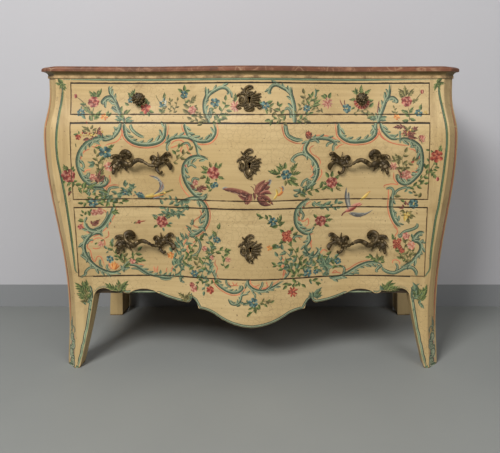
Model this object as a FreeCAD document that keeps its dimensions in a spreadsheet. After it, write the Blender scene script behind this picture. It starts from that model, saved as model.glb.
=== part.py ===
"""Bombe chest: a serpentine case on four legs with three drawers.

Frame: +Z up, the front looks along -Y, the origin lies on the floor under the middle of the
bounding box. All sizes are in millimetres.
"""
import FreeCAD, Part
import Sketcher
import math
import os
import re

Vector = FreeCAD.Vector
doc = FreeCAD.newDocument("bombe_chest")

# --------------------------------------------------------------------------- driving sizes
DRIVING_SIZES = {
    # overall form
    "half_depth": 285,            # middle of the plan to the back, and to the foremost metalwork
    "front_margin": 5,            # foremost metalwork in front of the belly
    "opening_half": 493,          # half width between the corner legs
    "post_width": 41,             # corner leg at the waist, the narrowest height
    "waist_height": 127,
    "belly_height": 668,
    "neck_rise": 117,             # neck above the belly
    "foot_flare": 4,              # how far each height stands out beyond the waist
    "belly_swell": 42,
    "neck_swell": 28,
    "swell_bias": 1.15,           # above 1, the swelling starts later above the waist
    "centre_swell": 45,           # serpentine plan of the front
    "hollow_half": 300,
    "corner_rise": 16,
    "corner_run": 250,
    "side_bow": 8,
    "corner_cant": 30,
    # heights of the front, from the floor up
    "apron_top": 266,
    "bottom_drawer_height": 204,
    "middle_drawer_height": 215,
    "top_drawer_height": 88,
    "rail_thickness": 21,
    "top_rail_thickness": 19,
    # top board and the moulding under it
    "cove_height": 11,
    "cove_depth": 13,
    "cove_start": 2,
    "fillet_height": 6,
    "ovolo_height": 9,
    "ovolo_run": 26,
    "strip_height": 7,
    "strip_depth": 3,
    # legs
    "post_depth": 43,             # back of a corner leg behind the plan line of the front
    "knee_reach": 41,             # knee of a corner leg towards the middle
    "knee_height": 208,
    "front_foot_inset": 2,        # inner side of a front foot outside the opening
    "knee_hollow": 2,             # hollow of a leg's inner side, between knee and foot
    "foot_depth": 43,
    "back_leg_depth": 85,
    "back_foot_inset": 3,
    # apron
    "apron_wall": 24,
    "apron_drop": 138,
    # sides, back and bottom
    "side_wall": 24,
    "side_edge_height": 205,
    "side_arch_height": 235,
    "back_board_thickness": 18,
    "back_board_lap": 15,
    "back_boards_count": 3,
    "back_rail_depth": 24,
    "back_rail_height": 40,
    "back_top_rail_height": 22,
    "bottom_board_thickness": 10,
    "bottom_board_overhang": 15,
    # tenons
    "tenon_length": 20,
    "tenon_thickness": 18,
    "tenon_shoulder": 4,
    "tenon_setback": 22,
    # runners, guides and stops
    "runner_width": 42,
    "guide_width": 15,
    "guide_rise": 19,
    "stop_length": 30,
    "stop_rise": 20,
    # drawers
    "front_gap": 1.5,
    "running_gap": 0.3,
    "front_wall": 22,
    "drawer_side_wall": 14,
    "drawer_side_drop": 5,
    "drawer_back_wall": 12,
    "drawer_back_gap": 17,
    "drawer_bottom_thickness": 8,
    "bottom_groove_rise": 8,
    "bottom_groove_depth": 6,
    "tail_length": 16,
    "tail_width": 26,
    "tail_flare": 4,
    # locks
    "key_wall": 30,               # wood between the lock and the front at the key hole
    "lock_half": 38,
    "lock_thickness": 13,
    "lock_margin": 25,            # lock case below the key hole
    "bolt_width": 24,
    "bolt_thickness": 6,
    "bolt_length": 36,
    "bolt_travel": 7,
    "bolt_gap": 0.4,
    "key_hole_radius": 4.5,
    "key_slot_width": 5,
    "key_slot_drop": 13,
    "top_key_drop": 43,           # key hole below the top of each drawer opening
    "middle_key_drop": 111,
    "bottom_key_drop": 113,
    # metalwork
    "boss_relief": 6.9,           # escutcheon boss in front of the wood
    "plate_thickness": 3,
    "escutcheon_half": 33,
    "escutcheon_height": 86,
    "top_escutcheon_height": 74,
    "boss_margin": 5,
    "pin_radius": 1.2,
    "pin_head_radius": 2.4,
    "pin_length": 16,
    "pin_gap": 0.1,
    "knob_inset": 185,            # knob from the side of the drawer opening
    "knob_radius": 17,
    "knob_reach": 24,
    "knob_neck_radius": 7,
    "handle_inset": 186,          # middle of a handle from the side of the drawer opening
    "handle_post_spacing": 104,
    "handle_stand_off": 26,
    "handle_bar_radius": 4.5,
    "handle_bar_bend": 7.2,
    "handle_bar_clearance": 2,
    "handle_mount_reach": 32,     # how far the leaves of a mount reach from its stud
    "handle_scroll_radius": 7,
    "handle_scroll_wire": 3,
    "handle_scroll_inset": 18,
    "handle_scroll_rise": 20,
    "handle_plate_thickness": 5,
    "middle_handle_height": 593,
    "bottom_handle_height": 364,
    "stud_radius": 3,
    "stud_gap": 0.2,
    "stud_end": 7,
    "nut_width": 14,
    "nut_thickness": 4,
    "nail_radius": 1.6,
    "nail_head_radius": 4,
    "nail_head_height": 1.5,
    "nail_length": 42,
}

sheet = doc.addObject("Spreadsheet::Sheet", "Sizes")
for row, (alias, value) in enumerate(DRIVING_SIZES.items(), start=1):
    sheet.set(f"A{row}", alias)
    sheet.set(f"B{row}", str(value))
    sheet.setAlias(f"B{row}", alias)
doc.recompute()


def number(formula):
    """Value of a formula over the aliases of the sheet."""
    return float(sheet.evalExpression(formula))


def bound(formula):
    """The same formula as other objects write it, with the sheet's name before each alias."""
    return re.sub(r"[a-z][a-z_]+", lambda word: f"Sizes.{word.group()}", formula)


# --------------------------------------------------------------------------- derived places
# The plan line is where the front would stand with no swelling and no serpentine.
FRONT_BASE = "(half_depth - front_margin - belly_swell - centre_swell)"
WAIST_HALF = "(opening_half + post_width)"
KNEE_HALF = "(opening_half - knee_reach)"
FRONT_FOOT_HALF = "(opening_half + front_foot_inset)"
BACK_FOOT_HALF = "(opening_half + back_foot_inset)"
MIDDLE_FLOOR = "(apron_top + bottom_drawer_height + rail_thickness)"
TOP_FLOOR = "(apron_top + bottom_drawer_height + middle_drawer_height + 2 * rail_thickness)"
TOP_RAIL_FLOOR = f"({TOP_FLOOR} + top_drawer_height)"
CASE_HEIGHT = f"({TOP_RAIL_FLOOR} + top_rail_thickness)"

front_base = number(FRONT_BASE)
half_depth = number("half_depth")
case_height = number(CASE_HEIGHT)
apron_top = number("apron_top")
opening_half = number("opening_half")
post_back = -(front_base - number("post_depth"))
back_leg_front = number("half_depth - back_leg_depth")
board_front = number("half_depth - back_board_thickness")
FAR = 900                          # reach of cutting shapes well past the case


# --------------------------------------------------------------------------- outer form
def ease(share):
    """Smooth rise from 0 to 1."""
    return (1 - math.cos(math.pi * min(max(share, 0), 1))) / 2


def swell(height):
    """How far the case stands out beyond its waist at this height."""
    waist, belly = number("waist_height"), number("belly_height")
    if height < waist:
        return number("foot_flare") * ease(1 - height / waist)
    if height < belly:
        share = (height - waist) / (belly - waist)
        return number("belly_swell") * ease(share ** number("swell_bias"))
    fall = number("belly_swell - neck_swell")
    return number("belly_swell") - fall * ease((height - belly) / number("neck_rise"))


def serpentine(x):
    """How far the front stands out at this distance from the middle."""
    hollow = number("hollow_half")
    if abs(x) < hollow:
        return number("centre_swell") * ease(1 - abs(x) / hollow)
    return number("corner_rise") * ease((abs(x) - hollow) / number("corner_run"))


def front_y(x, height, outset=0.0):
    """Y of the front surface."""
    return -(front_base + swell(height) + outset + serpentine(x))


def spline(points):
    """Curve through the points, with even parameters so that stacked curves match."""
    curve = Part.BSplineCurve()
    curve.interpolate(Points=points, Parameters=[float(i) for i in range(len(points))])
    return curve.toShape()


def plan_wire(height, outset=0.0):
    """Outline of the case at a height, moved outwards on the front and the sides."""
    front_spans, side_spans = 20, 8
    out = swell(min(height, case_height)) + outset
    half_width = number(WAIST_HALF) + out
    cant = number("corner_cant")
    edge_x = half_width - cant
    edge_y = -(front_base + out + serpentine(edge_x))
    front_points = []
    for i in range(front_spans + 1):
        x = edge_x * (2 * i / front_spans - 1)
        front_points.append(Vector(x, -(front_base + out + serpentine(x)), height))
    right_points = []
    for i in range(side_spans + 1):
        share = i / side_spans
        y = edge_y + cant + (half_depth - edge_y - cant) * share
        bow = number("side_bow") * math.sin(math.pi * share) ** 2
        right_points.append(Vector(half_width + bow, y, height))
    left_points = [Vector(-point.x, point.y, height) for point in reversed(right_points)]
    edges = [
        spline(front_points),
        Part.makeLine(front_points[-1], right_points[0]),
        spline(right_points),
        Part.makeLine(right_points[-1], left_points[0]),
        spline(left_points),
        Part.makeLine(left_points[-1], front_points[0]),
    ]
    return Part.Wire(edges)


def stacked(levels, ruled=False):
    """Solid through outlines, given as pairs of height and outset."""
    return Part.makeLoft([plan_wire(height, outset) for height, outset in levels], True, ruled)


def form_levels():
    """Heights of the outlines that carry the swelling, evenly spaced."""
    spans = 20
    return [case_height * i / spans for i in range(spans + 1)]


# --------------------------------------------------------------------------- object makers
subparts = []


def keep(feature, label):
    """Name a finished sub-part."""
    feature.Label = label
    subparts.append(feature)
    return feature


def carved(name, shape):
    """Sub-part or blank whose shape is worked out from the sheet in code."""
    feature = doc.addObject("Part::Feature", name)
    feature.Shape = shape
    return feature


def board(name, corner, length, width, height):
    """Rectangular piece: its sizes are bound to the sheet, its low corner is a place."""
    piece = doc.addObject("Part::Box", name)
    piece.setExpression("Length", bound(length))
    piece.setExpression("Width", bound(width))
    piece.setExpression("Height", bound(height))
    piece.Placement = FreeCAD.Placement(Vector(*corner), FreeCAD.Rotation())
    return piece


def joined(kind, name, pieces):
    """Boolean of several pieces: kind is MultiFuse or MultiCommon."""
    feature = doc.addObject(f"Part::{kind}", name)
    feature.Shapes = pieces
    return feature


def cut(name, base, tools):
    """Base less one or more tools."""
    feature = doc.addObject("Part::Cut", name)
    feature.Base = base
    feature.Tool = tools[0] if len(tools) == 1 else joined("MultiFuse", f"{name}_tools", tools)
    return feature


def mirrored(name, source):
    """Left twin of a right-hand piece."""
    feature = doc.addObject("Part::Mirroring", name)
    feature.Source = source
    feature.Base = Vector(0, 0, 0)
    feature.Normal = Vector(1, 0, 0)
    return feature


def solid_of(feature):
    """Shape of a feature after a recompute."""
    doc.recompute()
    return feature.Shape


def prism(edges, along):
    """Solid made by moving a closed outline along a vector."""
    return Part.Face(Part.Wire(edges)).extrude(along)


def arc(start, middle, end):
    """Edge on a circle through three points."""
    return Part.Arc(start, middle, end).toShape()


def outline_edges(corners):
    """Straight edges round a list of corners."""
    return [Part.makeLine(corners[i - 1], corners[i]) for i in range(len(corners))]


case_form = carved("case_form", stacked([(height, 0) for height in form_levels()]))
form = case_form.Shape

# --------------------------------------------------------------------------- tenons
tenon_y = -(front_base - number("tenon_setback"))


def tenon(name, half_length, floor, thickness):
    """Tenons at both ends of a rail, drawn as one bar that runs through it."""
    corner = (-number(half_length + " + tenon_length"), tenon_y - number("tenon_thickness"),
              floor + number("tenon_shoulder"))
    return board(name, corner, f"2 * ({half_length} + tenon_length)", "tenon_thickness",
                 f"{thickness} - 2 * tenon_shoulder")


RAILS = {
    "front_top_rail": (TOP_RAIL_FLOOR, "top_rail_thickness"),
    "upper_drawer_rail": (f"{TOP_FLOOR} - rail_thickness", "rail_thickness"),
    "lower_drawer_rail": (f"{MIDDLE_FLOOR} - rail_thickness", "rail_thickness"),
}
rail_tenons = {}
for rail_name, (rail_floor, rail_size) in RAILS.items():
    rail_tenons[rail_name] = tenon(f"{rail_name}_tenon", "opening_half", number(rail_floor), rail_size)
APRON_END = "(apron_top - knee_height)"
apron_tenon = tenon("apron_tenon", KNEE_HALF, number("knee_height"), APRON_END)
all_tenons = list(rail_tenons.values()) + [apron_tenon]


# --------------------------------------------------------------------------- corner legs
def corner_leg_front_view():
    """Right leg seen from the front: post, knee and tapering foot."""
    knee, foot = number(KNEE_HALF), number(FRONT_FOOT_HALF)
    knee_height = number("knee_height")
    corners = [Vector(x, -FAR, z) for x, z in (
        (foot, 0), (FAR, 0), (FAR, case_height), (opening_half, case_height),
        (opening_half, apron_top), (knee, apron_top), (knee, knee_height))]
    edges = [Part.makeLine(corners[i], corners[i + 1]) for i in range(len(corners) - 1)]
    bend = Vector((knee + foot) / 2 - number("knee_hollow"), -FAR, knee_height / 2)
    edges.append(arc(corners[-1], bend, corners[0]))
    return prism(edges, Vector(0, 2 * FAR, 0))


def corner_leg_side_view():
    """Leg seen from the side: straight post, then a taper down to the foot."""
    foot_back = front_y(number(FRONT_FOOT_HALF), 0) + number("foot_depth")
    corners = [Vector(-FAR, y, z) for y, z in (
        (foot_back, 0), (post_back, number("knee_height")), (post_back, case_height),
        (-FAR, case_height), (-FAR, 0))]
    return prism(outline_edges(corners), Vector(2 * FAR, 0, 0))


leg_blank = joined("MultiCommon", "corner_leg_blank", [
    case_form,
    carved("corner_leg_front_view", corner_leg_front_view()),
    carved("corner_leg_side_view", corner_leg_side_view()),
])
right_leg = keep(cut("corner_leg_right", leg_blank, all_tenons), "corner_leg_right")
left_leg = keep(mirrored("corner_leg_left", right_leg), "corner_leg_left")


# --------------------------------------------------------------------------- back legs
def back_leg_front_view():
    """Right back leg seen from the front: straight inside, a little narrower at the foot."""
    corners = [Vector(x, back_leg_front, z) for x, z in (
        (number(BACK_FOOT_HALF), 0), (FAR, 0), (FAR, case_height), (opening_half, case_height),
        (opening_half, number("side_edge_height")))]
    return prism(outline_edges(corners), Vector(0, FAR, 0))


BOARD_HALF = "(opening_half + back_board_lap)"
back_floor = apron_top - number("rail_thickness + bottom_board_thickness + back_rail_height")
rebate = board("back_rebate", (-number(BOARD_HALF), board_front, back_floor),
               f"2 * {BOARD_HALF}", "back_board_thickness", f"{CASE_HEIGHT}")
back_leg_blank = joined("MultiCommon", "back_leg_blank", [
    case_form, carved("back_leg_front_view", back_leg_front_view())])


# --------------------------------------------------------------------------- nails of the back
def back_nail(x, z):
    """One nail with its head let in level with the back."""
    forward = Vector(0, -1, 0)
    head = Part.makeCylinder(number("nail_head_radius"), number("nail_head_height"),
                             Vector(x, half_depth, z), forward)
    shank = Part.makeCylinder(number("nail_radius"), number("nail_length"),
                              Vector(x, half_depth, z), forward)
    return head.fuse(shank)


def back_nails():
    """Two nails at each end of each back board."""
    count = int(number("back_boards_count"))
    board_height = (case_height - back_floor) / count
    x = number("opening_half + back_board_lap / 2")
    nails = []
    for i in range(count):
        for share in (0.25, 0.75):
            z = back_floor + board_height * (i + share)
            nails += [back_nail(-x, z), back_nail(x, z)]
    return Part.makeCompound(nails)


nails = keep(carved("back_nails", back_nails()), "back_nails")
right_back_leg = keep(cut("back_leg_right", back_leg_blank, [rebate, nails]), "back_leg_right")
left_back_leg = keep(mirrored("back_leg_left", right_back_leg), "back_leg_left")


# --------------------------------------------------------------------------- side panels
def side_panel():
    """Right side: an evenly thick bowed panel between the legs, arched along its lower edge."""
    edge, arch = number("side_edge_height"), number("side_arch_height")
    lining = form.translated(Vector(-number("side_wall"), 0, 0))
    middle = (post_back + back_leg_front) / 2
    corners = [Vector(0, y, z) for y, z in (
        (back_leg_front, edge), (back_leg_front, case_height), (post_back, case_height),
        (post_back, edge))]
    edges = [Part.makeLine(corners[i], corners[i + 1]) for i in range(len(corners) - 1)]
    edges.append(arc(corners[-1], Vector(0, middle, arch), corners[0]))
    return form.common(prism(edges, Vector(FAR, 0, 0))).cut(lining)


right_panel = keep(carved("side_panel_right", side_panel()), "side_panel_right")
left_panel = keep(mirrored("side_panel_left", right_panel), "side_panel_left")

# --------------------------------------------------------------------------- drawers: places
DRAWERS = {
    "top_drawer": {
        "floor": TOP_FLOOR, "height": "top_drawer_height", "key_drop": "top_key_drop",
        "back_plane": "(" + FRONT_BASE + " + neck_swell - front_wall)", "tails": 2,
        "escutcheon_height": "top_escutcheon_height",
    },
    "middle_drawer": {
        "floor": MIDDLE_FLOOR, "height": "middle_drawer_height", "key_drop": "middle_key_drop",
        "back_plane": "(" + FRONT_BASE + " + neck_swell - front_wall)", "tails": 3,
        "escutcheon_height": "escutcheon_height",
    },
    "bottom_drawer": {
        "floor": "apron_top", "height": "bottom_drawer_height", "key_drop": "bottom_key_drop",
        "back_plane": "(" + FRONT_BASE + " - front_wall)", "tails": 3,
        "escutcheon_height": "escutcheon_height",
    },
}
DRAWER_HALF = "(opening_half - front_gap)"
drawer_half = number(DRAWER_HALF)
drawer_back = board_front - number("drawer_back_gap")
for drawer in DRAWERS.values():
    drawer["low"] = number(drawer["floor"])
    drawer["high"] = drawer["low"] + number(drawer["height"])
    drawer["plane"] = -number(drawer["back_plane"])
    drawer["key_z"] = drawer["high"] - number(drawer["key_drop"])
    # the lock lies at the bottom of a recess cut from inside, close behind the swelling middle
    drawer["lock_y"] = front_y(0, drawer["key_z"]) + number("key_wall")

# --------------------------------------------------------------------------- rails and apron
BOLT_ABOVE = {
    "front_top_rail": "top_drawer",
    "upper_drawer_rail": "middle_drawer",
    "lower_drawer_rail": "bottom_drawer",
}
RAIL_LENGTH = "2 * opening_half"


def bolt_box(name, drawer, floor, height, gap):
    """Space of a lock bolt, or of the bolt with a gap round it."""
    half = number(f"bolt_width / 2 + {gap}")
    middle = drawer["lock_y"] + number("lock_thickness / 2")
    corner = (-half, middle - number(f"bolt_thickness / 2 + {gap}"), floor)
    return board(name, corner, f"bolt_width + 2 * {gap}", f"bolt_thickness + 2 * {gap}", height)


for rail_name, (rail_floor, rail_size) in RAILS.items():
    low = number(rail_floor)
    blank = board(f"{rail_name}_blank", (-opening_half, -FAR, low), RAIL_LENGTH,
                  f"{FAR} - {FRONT_BASE} + post_depth", rail_size)
    shaped = joined("MultiCommon", f"{rail_name}_shaped", [case_form, blank])
    tenoned = joined("MultiFuse", f"{rail_name}_tenoned", [shaped, rail_tenons[rail_name]])
    mortise = bolt_box(f"{rail_name}_mortise", DRAWERS[BOLT_ABOVE[rail_name]], low,
                       "bolt_travel + bolt_gap", "2 * bolt_gap")
    keep(cut(rail_name, tenoned, [mortise]), rail_name)

# Lower edge of the apron, from the middle to the right knee: arcs given by a point on the way and
# an end, as shares of the half length and of the drop at the middle.
APRON_ARCS = [
    ((0.135, 0.91), (0.23, 0.745)),
    ((0.285, 0.675), (0.335, 0.65)),
    ((0.352, 0.50), (0.378, 0.42)),
    ((0.388, 0.51), (0.42, 0.535)),
    ((0.53, 0.465), (0.626, 0.325)),
    ((0.695, 0.285), (0.765, 0.34)),
    ((0.785, 0.375), (0.825, 0.312)),
    ((0.86, 0.325), (0.90, 0.305)),
    ((0.962, 0.265), (1.0, 0.42)),
]


def front_apron():
    """Shaped board under the bottom drawer, between the knees of the corner legs."""
    half, drop = number(KNEE_HALF), number("apron_drop")
    back = -(front_base - number("apron_wall"))
    end_drop = apron_top - number("knee_height")

    def place(point, side):
        depth = end_drop if point[0] == 1.0 else point[1] * drop
        return Vector(side * point[0] * half, back, apron_top - depth)

    edges = []
    for side in (1, -1):
        start = Vector(0, back, apron_top - drop)
        for middle, end in APRON_ARCS:
            edges.append(arc(start, place(middle, side), place(end, side)))
            start = place(end, side)
        edges.append(Part.makeLine(start, Vector(side * half, back, apron_top)))
    edges.append(Part.makeLine(Vector(-half, back, apron_top), Vector(half, back, apron_top)))
    outline = Part.Wire(Part.__sortEdges__(edges))
    return Part.Face(outline).extrude(Vector(0, -FAR, 0)).common(form)


apron_board = carved("front_apron_board", front_apron())
apron = keep(joined("MultiFuse", "front_apron", [apron_board, apron_tenon]), "front_apron")


# --------------------------------------------------------------------------- top
def top_board():
    """Top with a cove, a fillet and an ovolo round its front and sides."""
    steps = 6
    quarter = [math.pi / 2 * i / steps for i in range(steps + 1)]
    cove_start, cove_depth, cove_height = (
        number("cove_start"), number("cove_depth"), number("cove_height"))
    tip = cove_start + cove_depth
    fillet_low = case_height + cove_height
    fillet_high = fillet_low + number("fillet_height")
    cove = [(case_height + cove_height * math.sin(turn), cove_start + cove_depth * (1 - math.cos(turn)))
            for turn in quarter]
    ovolo = [(fillet_high + number("ovolo_height") * math.sin(turn),
              tip - number("ovolo_run") * (1 - math.cos(turn))) for turn in quarter]
    fillet = [(fillet_low, tip), (fillet_high, tip)]
    members = [stacked(levels, ruled=True) for levels in (cove, fillet, ovolo)]
    return members[0].fuse(members[1:])


def top_moulding():
    """Strip under the top in three lengths: left side, front and right side."""
    low = case_height - number("strip_height")
    depth = number("strip_depth")
    ring = stacked([(low, depth), (case_height, depth)]).cut(form)
    ring = ring.cut(Part.makeBox(2 * FAR, 2 * FAR, 2 * FAR, Vector(-FAR, half_depth, 0)))
    corner = number(WAIST_HALF + " - corner_cant") + swell(case_height)
    middle = Part.makeBox(2 * corner, FAR, 2 * FAR, Vector(-corner, -FAR, 0))
    lengths = ring.cut(middle).Solids + ring.common(middle).Solids
    return Part.makeCompound(lengths)


keep(carved("top_board", top_board()), "top_board")
keep(carved("top_moulding", top_moulding()), "top_moulding")

# --------------------------------------------------------------------------- back and bottom
BACK_FLOOR = "(apron_top - rail_thickness - bottom_board_thickness - back_rail_height)"
back_slab = cut("back_slab", board("back_slab_blank", (-number(BOARD_HALF), board_front, back_floor),
                                   f"2 * {BOARD_HALF}", "back_board_thickness",
                                   f"{CASE_HEIGHT} - {BACK_FLOOR}"), [nails])


def back_boards():
    """Boards of the back, one above another, each cut to its own solid."""
    slab = solid_of(back_slab)
    count = int(number("back_boards_count"))
    step = (case_height - back_floor) / count
    boards = []
    for i in range(count):
        layer = Part.makeBox(2 * FAR, FAR, step, Vector(-FAR, 0, back_floor + step * i))
        boards += slab.common(layer).Solids
    return Part.makeCompound(boards)


keep(carved("back_boards", back_boards()), "back_boards")
back_rail_y = board_front - number("back_rail_depth")
keep(board("back_top_rail",
           (-opening_half, back_rail_y, case_height - number("back_top_rail_height")),
           RAIL_LENGTH, "back_rail_depth", "back_top_rail_height"), "back_top_rail")
keep(board("back_bottom_rail", (-opening_half, back_rail_y, back_floor),
           RAIL_LENGTH, "back_rail_depth", "back_rail_height"), "back_bottom_rail")

apron_back = -(front_base - number("apron_wall"))
bottom_floor = back_floor + number("back_rail_height")
FLOOR_HALF = "(opening_half + bottom_board_overhang)"
bottom_blank = board("bottom_board_blank", (-number(FLOOR_HALF), apron_back, bottom_floor),
                     f"2 * {FLOOR_HALF}",
                     f"half_depth - back_board_thickness + {FRONT_BASE} - apron_wall",
                     "bottom_board_thickness")
keep(cut("bottom_board", bottom_blank, [left_leg, right_leg, left_back_leg, right_back_leg]),
     "bottom_board")

# --------------------------------------------------------------------------- runners, guides, stops
GUIDE_LENGTH = f"half_depth - back_leg_depth + {FRONT_BASE} - post_depth"
RUNNER_LENGTH = f"half_depth - back_board_thickness + {FRONT_BASE} - post_depth"
guides = []
stops = []
for drawer_name, drawer in DRAWERS.items():
    runner_floor = drawer["low"] - number("rail_thickness")
    right_runner = board(f"{drawer_name}_runner",
                         (number("opening_half - runner_width"), post_back, runner_floor),
                         "runner_width", RUNNER_LENGTH, "rail_thickness")
    pair = joined("MultiFuse", f"{drawer_name}_runners",
                  [right_runner, mirrored(f"{drawer_name}_runner_left", right_runner)])
    keep(pair, f"{drawer_name}_runners")
    guide = board(f"{drawer_name}_guide", (opening_half, post_back, runner_floor),
                  "guide_width", GUIDE_LENGTH, "rail_thickness + guide_rise")
    guides += [guide, mirrored(f"{drawer_name}_guide_left", guide)]
    stop = board(f"{drawer_name}_stop",
                 (number("opening_half - runner_width"), drawer_back + number("running_gap"),
                  drawer["low"]),
                 "stop_length", "drawer_back_gap - running_gap", "stop_rise")
    stops += [stop, mirrored(f"{drawer_name}_stop_left", stop)]
keep(joined("MultiFuse", "drawer_guides", guides), "drawer_guides")
keep(joined("MultiFuse", "drawer_stops", stops), "drawer_stops")


# --------------------------------------------------------------------------- metalwork makers
def closed_outline(points, y):
    """Smooth closed outline through points given as x and z."""
    curve = Part.BSplineCurve()
    curve.interpolate(Points=[Vector(x, y, z) for x, z in points], PeriodicFlag=True)
    return Part.Face(Part.Wire([curve.toShape()]))


def plate_on_front(face, thickness):
    """Plate of even thickness that lies on the curved front."""
    column = face.extrude(Vector(0, FAR, 0))
    return form.translated(Vector(0, -thickness, 0)).common(column).cut(form)


def stud(x, z, inner_plane, radius):
    """Threaded stud from the front surface through the drawer front to its nut."""
    start = front_y(x, z) - number("plate_thickness")
    end = inner_plane + number("stud_end")
    return Part.makeCylinder(radius, end - start, Vector(x, start, z), Vector(0, 1, 0))


def nut(x, z, inner_plane):
    """Square nut on the inner face of a drawer front."""
    half, thickness = number("nut_width / 2"), number("nut_thickness")
    block = Part.makeBox(2 * half, thickness, 2 * half, Vector(x - half, inner_plane, z - half))
    hole = Part.makeCylinder(number("stud_radius + stud_gap"), thickness,
                             Vector(x, inner_plane, z), Vector(0, 1, 0))
    return block.cut(hole)


def pin(x, y, z):
    """Round-headed pin driven straight back, its head seated at y."""
    head = Part.makeSphere(number("pin_head_radius"), Vector(x, y, z), Vector(0, -1, 0), 0, 90, 360)
    shank = Part.makeCylinder(number("pin_radius"), number("pin_length"), Vector(x, y, z),
                              Vector(0, 1, 0))
    return head.fuse(shank)


def pin_hole(x, y, z):
    """Hole for a pin, a little wider than its shank."""
    return Part.makeCylinder(number("pin_radius + pin_gap"), number("pin_length + pin_gap"),
                             Vector(x, y, z), Vector(0, 1, 0))


def key_hole(z, y_start, y_end):
    """Round hole with a narrower slot under it, for the bit of the key."""
    length = y_end - y_start
    radius, slot = number("key_hole_radius"), number("key_slot_width")
    round_hole = Part.makeCylinder(radius, length, Vector(0, y_start, z), Vector(0, 1, 0))
    bit = Part.makeBox(slot, length, number("key_slot_drop"),
                       Vector(-slot / 2, y_start, z - number("key_slot_drop")))
    return round_hole.fuse(bit)


# Outline of an escutcheon: shares of its half width and of its height, from the crest clockwise.
ESCUTCHEON_OUTLINE = [
    (0.0, 1.0), (0.28, 0.95), (0.42, 0.82), (0.80, 0.84), (0.98, 0.66), (0.80, 0.50),
    (0.95, 0.34), (0.72, 0.16), (0.30, 0.10), (0.0, 0.0),
]
PIN_SHARES = [(-0.72, 0.64), (0.72, 0.64), (-0.72, 0.33), (0.72, 0.33)]


def escutcheon(drawer, height):
    """Cartouche plate on the curved front with a raised boss round the key hole."""
    half = number("escutcheon_half")
    low = drawer["key_z"] - height / 2
    right_half = [(x * half, low + z * height) for x, z in ESCUTCHEON_OUTLINE]
    left_half = [(-x, z) for x, z in reversed(right_half[1:-1])]
    plate = plate_on_front(closed_outline(right_half + left_half, -FAR), number("plate_thickness"))
    boss_radius = number("key_hole_radius + key_slot_drop / 2 + boss_margin / 2")
    centre = drawer["key_z"] - number("key_slot_drop / 3")
    disc = Part.makeCylinder(boss_radius, FAR, Vector(0, -FAR, centre), Vector(0, 1, 0))
    boss = form.translated(Vector(0, -number("boss_relief"), 0)).common(disc).cut(form)
    return plate.fuse(boss).removeSplitter()


def pin_places(drawer, height):
    """Places of the escutcheon's pins, their heads clear of the front of its plate all round."""
    half = number("escutcheon_half")
    low = drawer["key_z"] - height / 2
    rim = number("pin_head_radius")
    places = []
    for share_x, share_z in PIN_SHARES:
        x, z = share_x * half, low + share_z * height
        foremost = min(front_y(abs(x) - rim, z + up) for up in (-rim, rim))
        places.append((x, foremost - number("plate_thickness + pin_gap"), z))
    return places


def rounded_path(points, radius):
    """Wire through points with an arc of the given radius at each inner corner."""
    edges = []
    start = points[0]
    for before, corner, after in zip(points, points[1:], points[2:]):
        to_start = (before - corner).normalize()
        to_end = (after - corner).normalize()
        half_angle = to_start.getAngle(to_end) / 2
        reach = radius / math.tan(half_angle)
        middle_way = (to_start + to_end).normalize()
        tangent_in = corner + to_start * reach
        tangent_out = corner + to_end * reach
        middle = corner + middle_way * (radius / math.sin(half_angle) - radius)
        edges.append(Part.makeLine(start, tangent_in))
        edges.append(Part.Arc(tangent_in, middle, tangent_out).toShape())
        start = tangent_out
    edges.append(Part.makeLine(start, points[-1]))
    return Part.Wire(edges)


# Leafy mounts of a handle: x towards the outer end and z, both from the mount's stud, as shares
# of how far the leaves reach.
OUTER_MOUNT = [
    (-0.62, 0.12), (-0.44, 0.56), (-0.06, 0.5), (0.25, 0.88), (0.62, 0.81),
    (0.78, 0.25), (0.62, -0.31), (0.25, -0.81), (-0.25, -0.62), (-0.5, -0.25),
]
INNER_MOUNT = [
    (0.62, 0.19), (0.38, 0.44), (0.12, 0.94), (-0.19, 0.5), (-0.94, 0.88), (-1.19, 0.56),
    (-0.94, 0.06), (-1.12, -0.44), (-0.56, -0.5), (-0.19, -1), (0.19, -0.94), (0.31, -0.38),
]
# Run of the bar: shares of the spacing of the studs, of the stand-off and of the reach upwards.
BAR_ROUTE = [
    (1, 0, -0.12), (1, 0.72, -0.25), (0.74, 1, -0.47), (0.42, 1, 0.19),
    (0.2, 1, -0.38), (0, 0.72, -0.28), (0, 0, -0.12),
]


def handle(height, inner_plane):
    """Right handle: two leafy mounts with studs, joined by a twisting bar in front of them."""
    centre = number("opening_half - handle_inset")
    spacing = number("handle_post_spacing")
    inner_x, outer_x = centre - spacing / 2, centre + spacing / 2
    thickness = number("handle_plate_thickness")
    reach = number("handle_mount_reach")
    solids = []
    for stud_x, outline in ((outer_x, OUTER_MOUNT), (inner_x, INNER_MOUNT)):
        points = [(stud_x + x * reach, height + z * reach) for x, z in outline]
        solids.append(plate_on_front(closed_outline(points, -FAR), thickness))
        solids.append(stud(stud_x, height, inner_plane, number("stud_radius")))
    stand_off = number("handle_stand_off")
    bar_radius = number("handle_bar_radius")
    base = front_y(centre, height) - number("handle_bar_clearance")
    route = [Vector(inner_x + share * spacing, base - lift * stand_off, height + z * reach)
             for share, lift, z in BAR_ROUTE]
    section = Part.Wire([Part.makeCircle(bar_radius, route[0], Vector(0, 1, 0))])
    path = rounded_path(route, number("handle_bar_bend"))
    solids.append(path.makePipeShell([section], True, False).cut(form))
    scroll_x = outer_x - number("handle_scroll_inset")
    scroll_z = height + number("handle_scroll_rise")
    scroll_middle = Vector(scroll_x, front_y(scroll_x, scroll_z) - thickness, scroll_z)
    scroll = Part.makeTorus(number("handle_scroll_radius"), number("handle_scroll_wire"),
                            scroll_middle, Vector(0, 1, 0))
    solids.append(scroll.cut(form))
    return solids[0].fuse(solids[1:])


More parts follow.
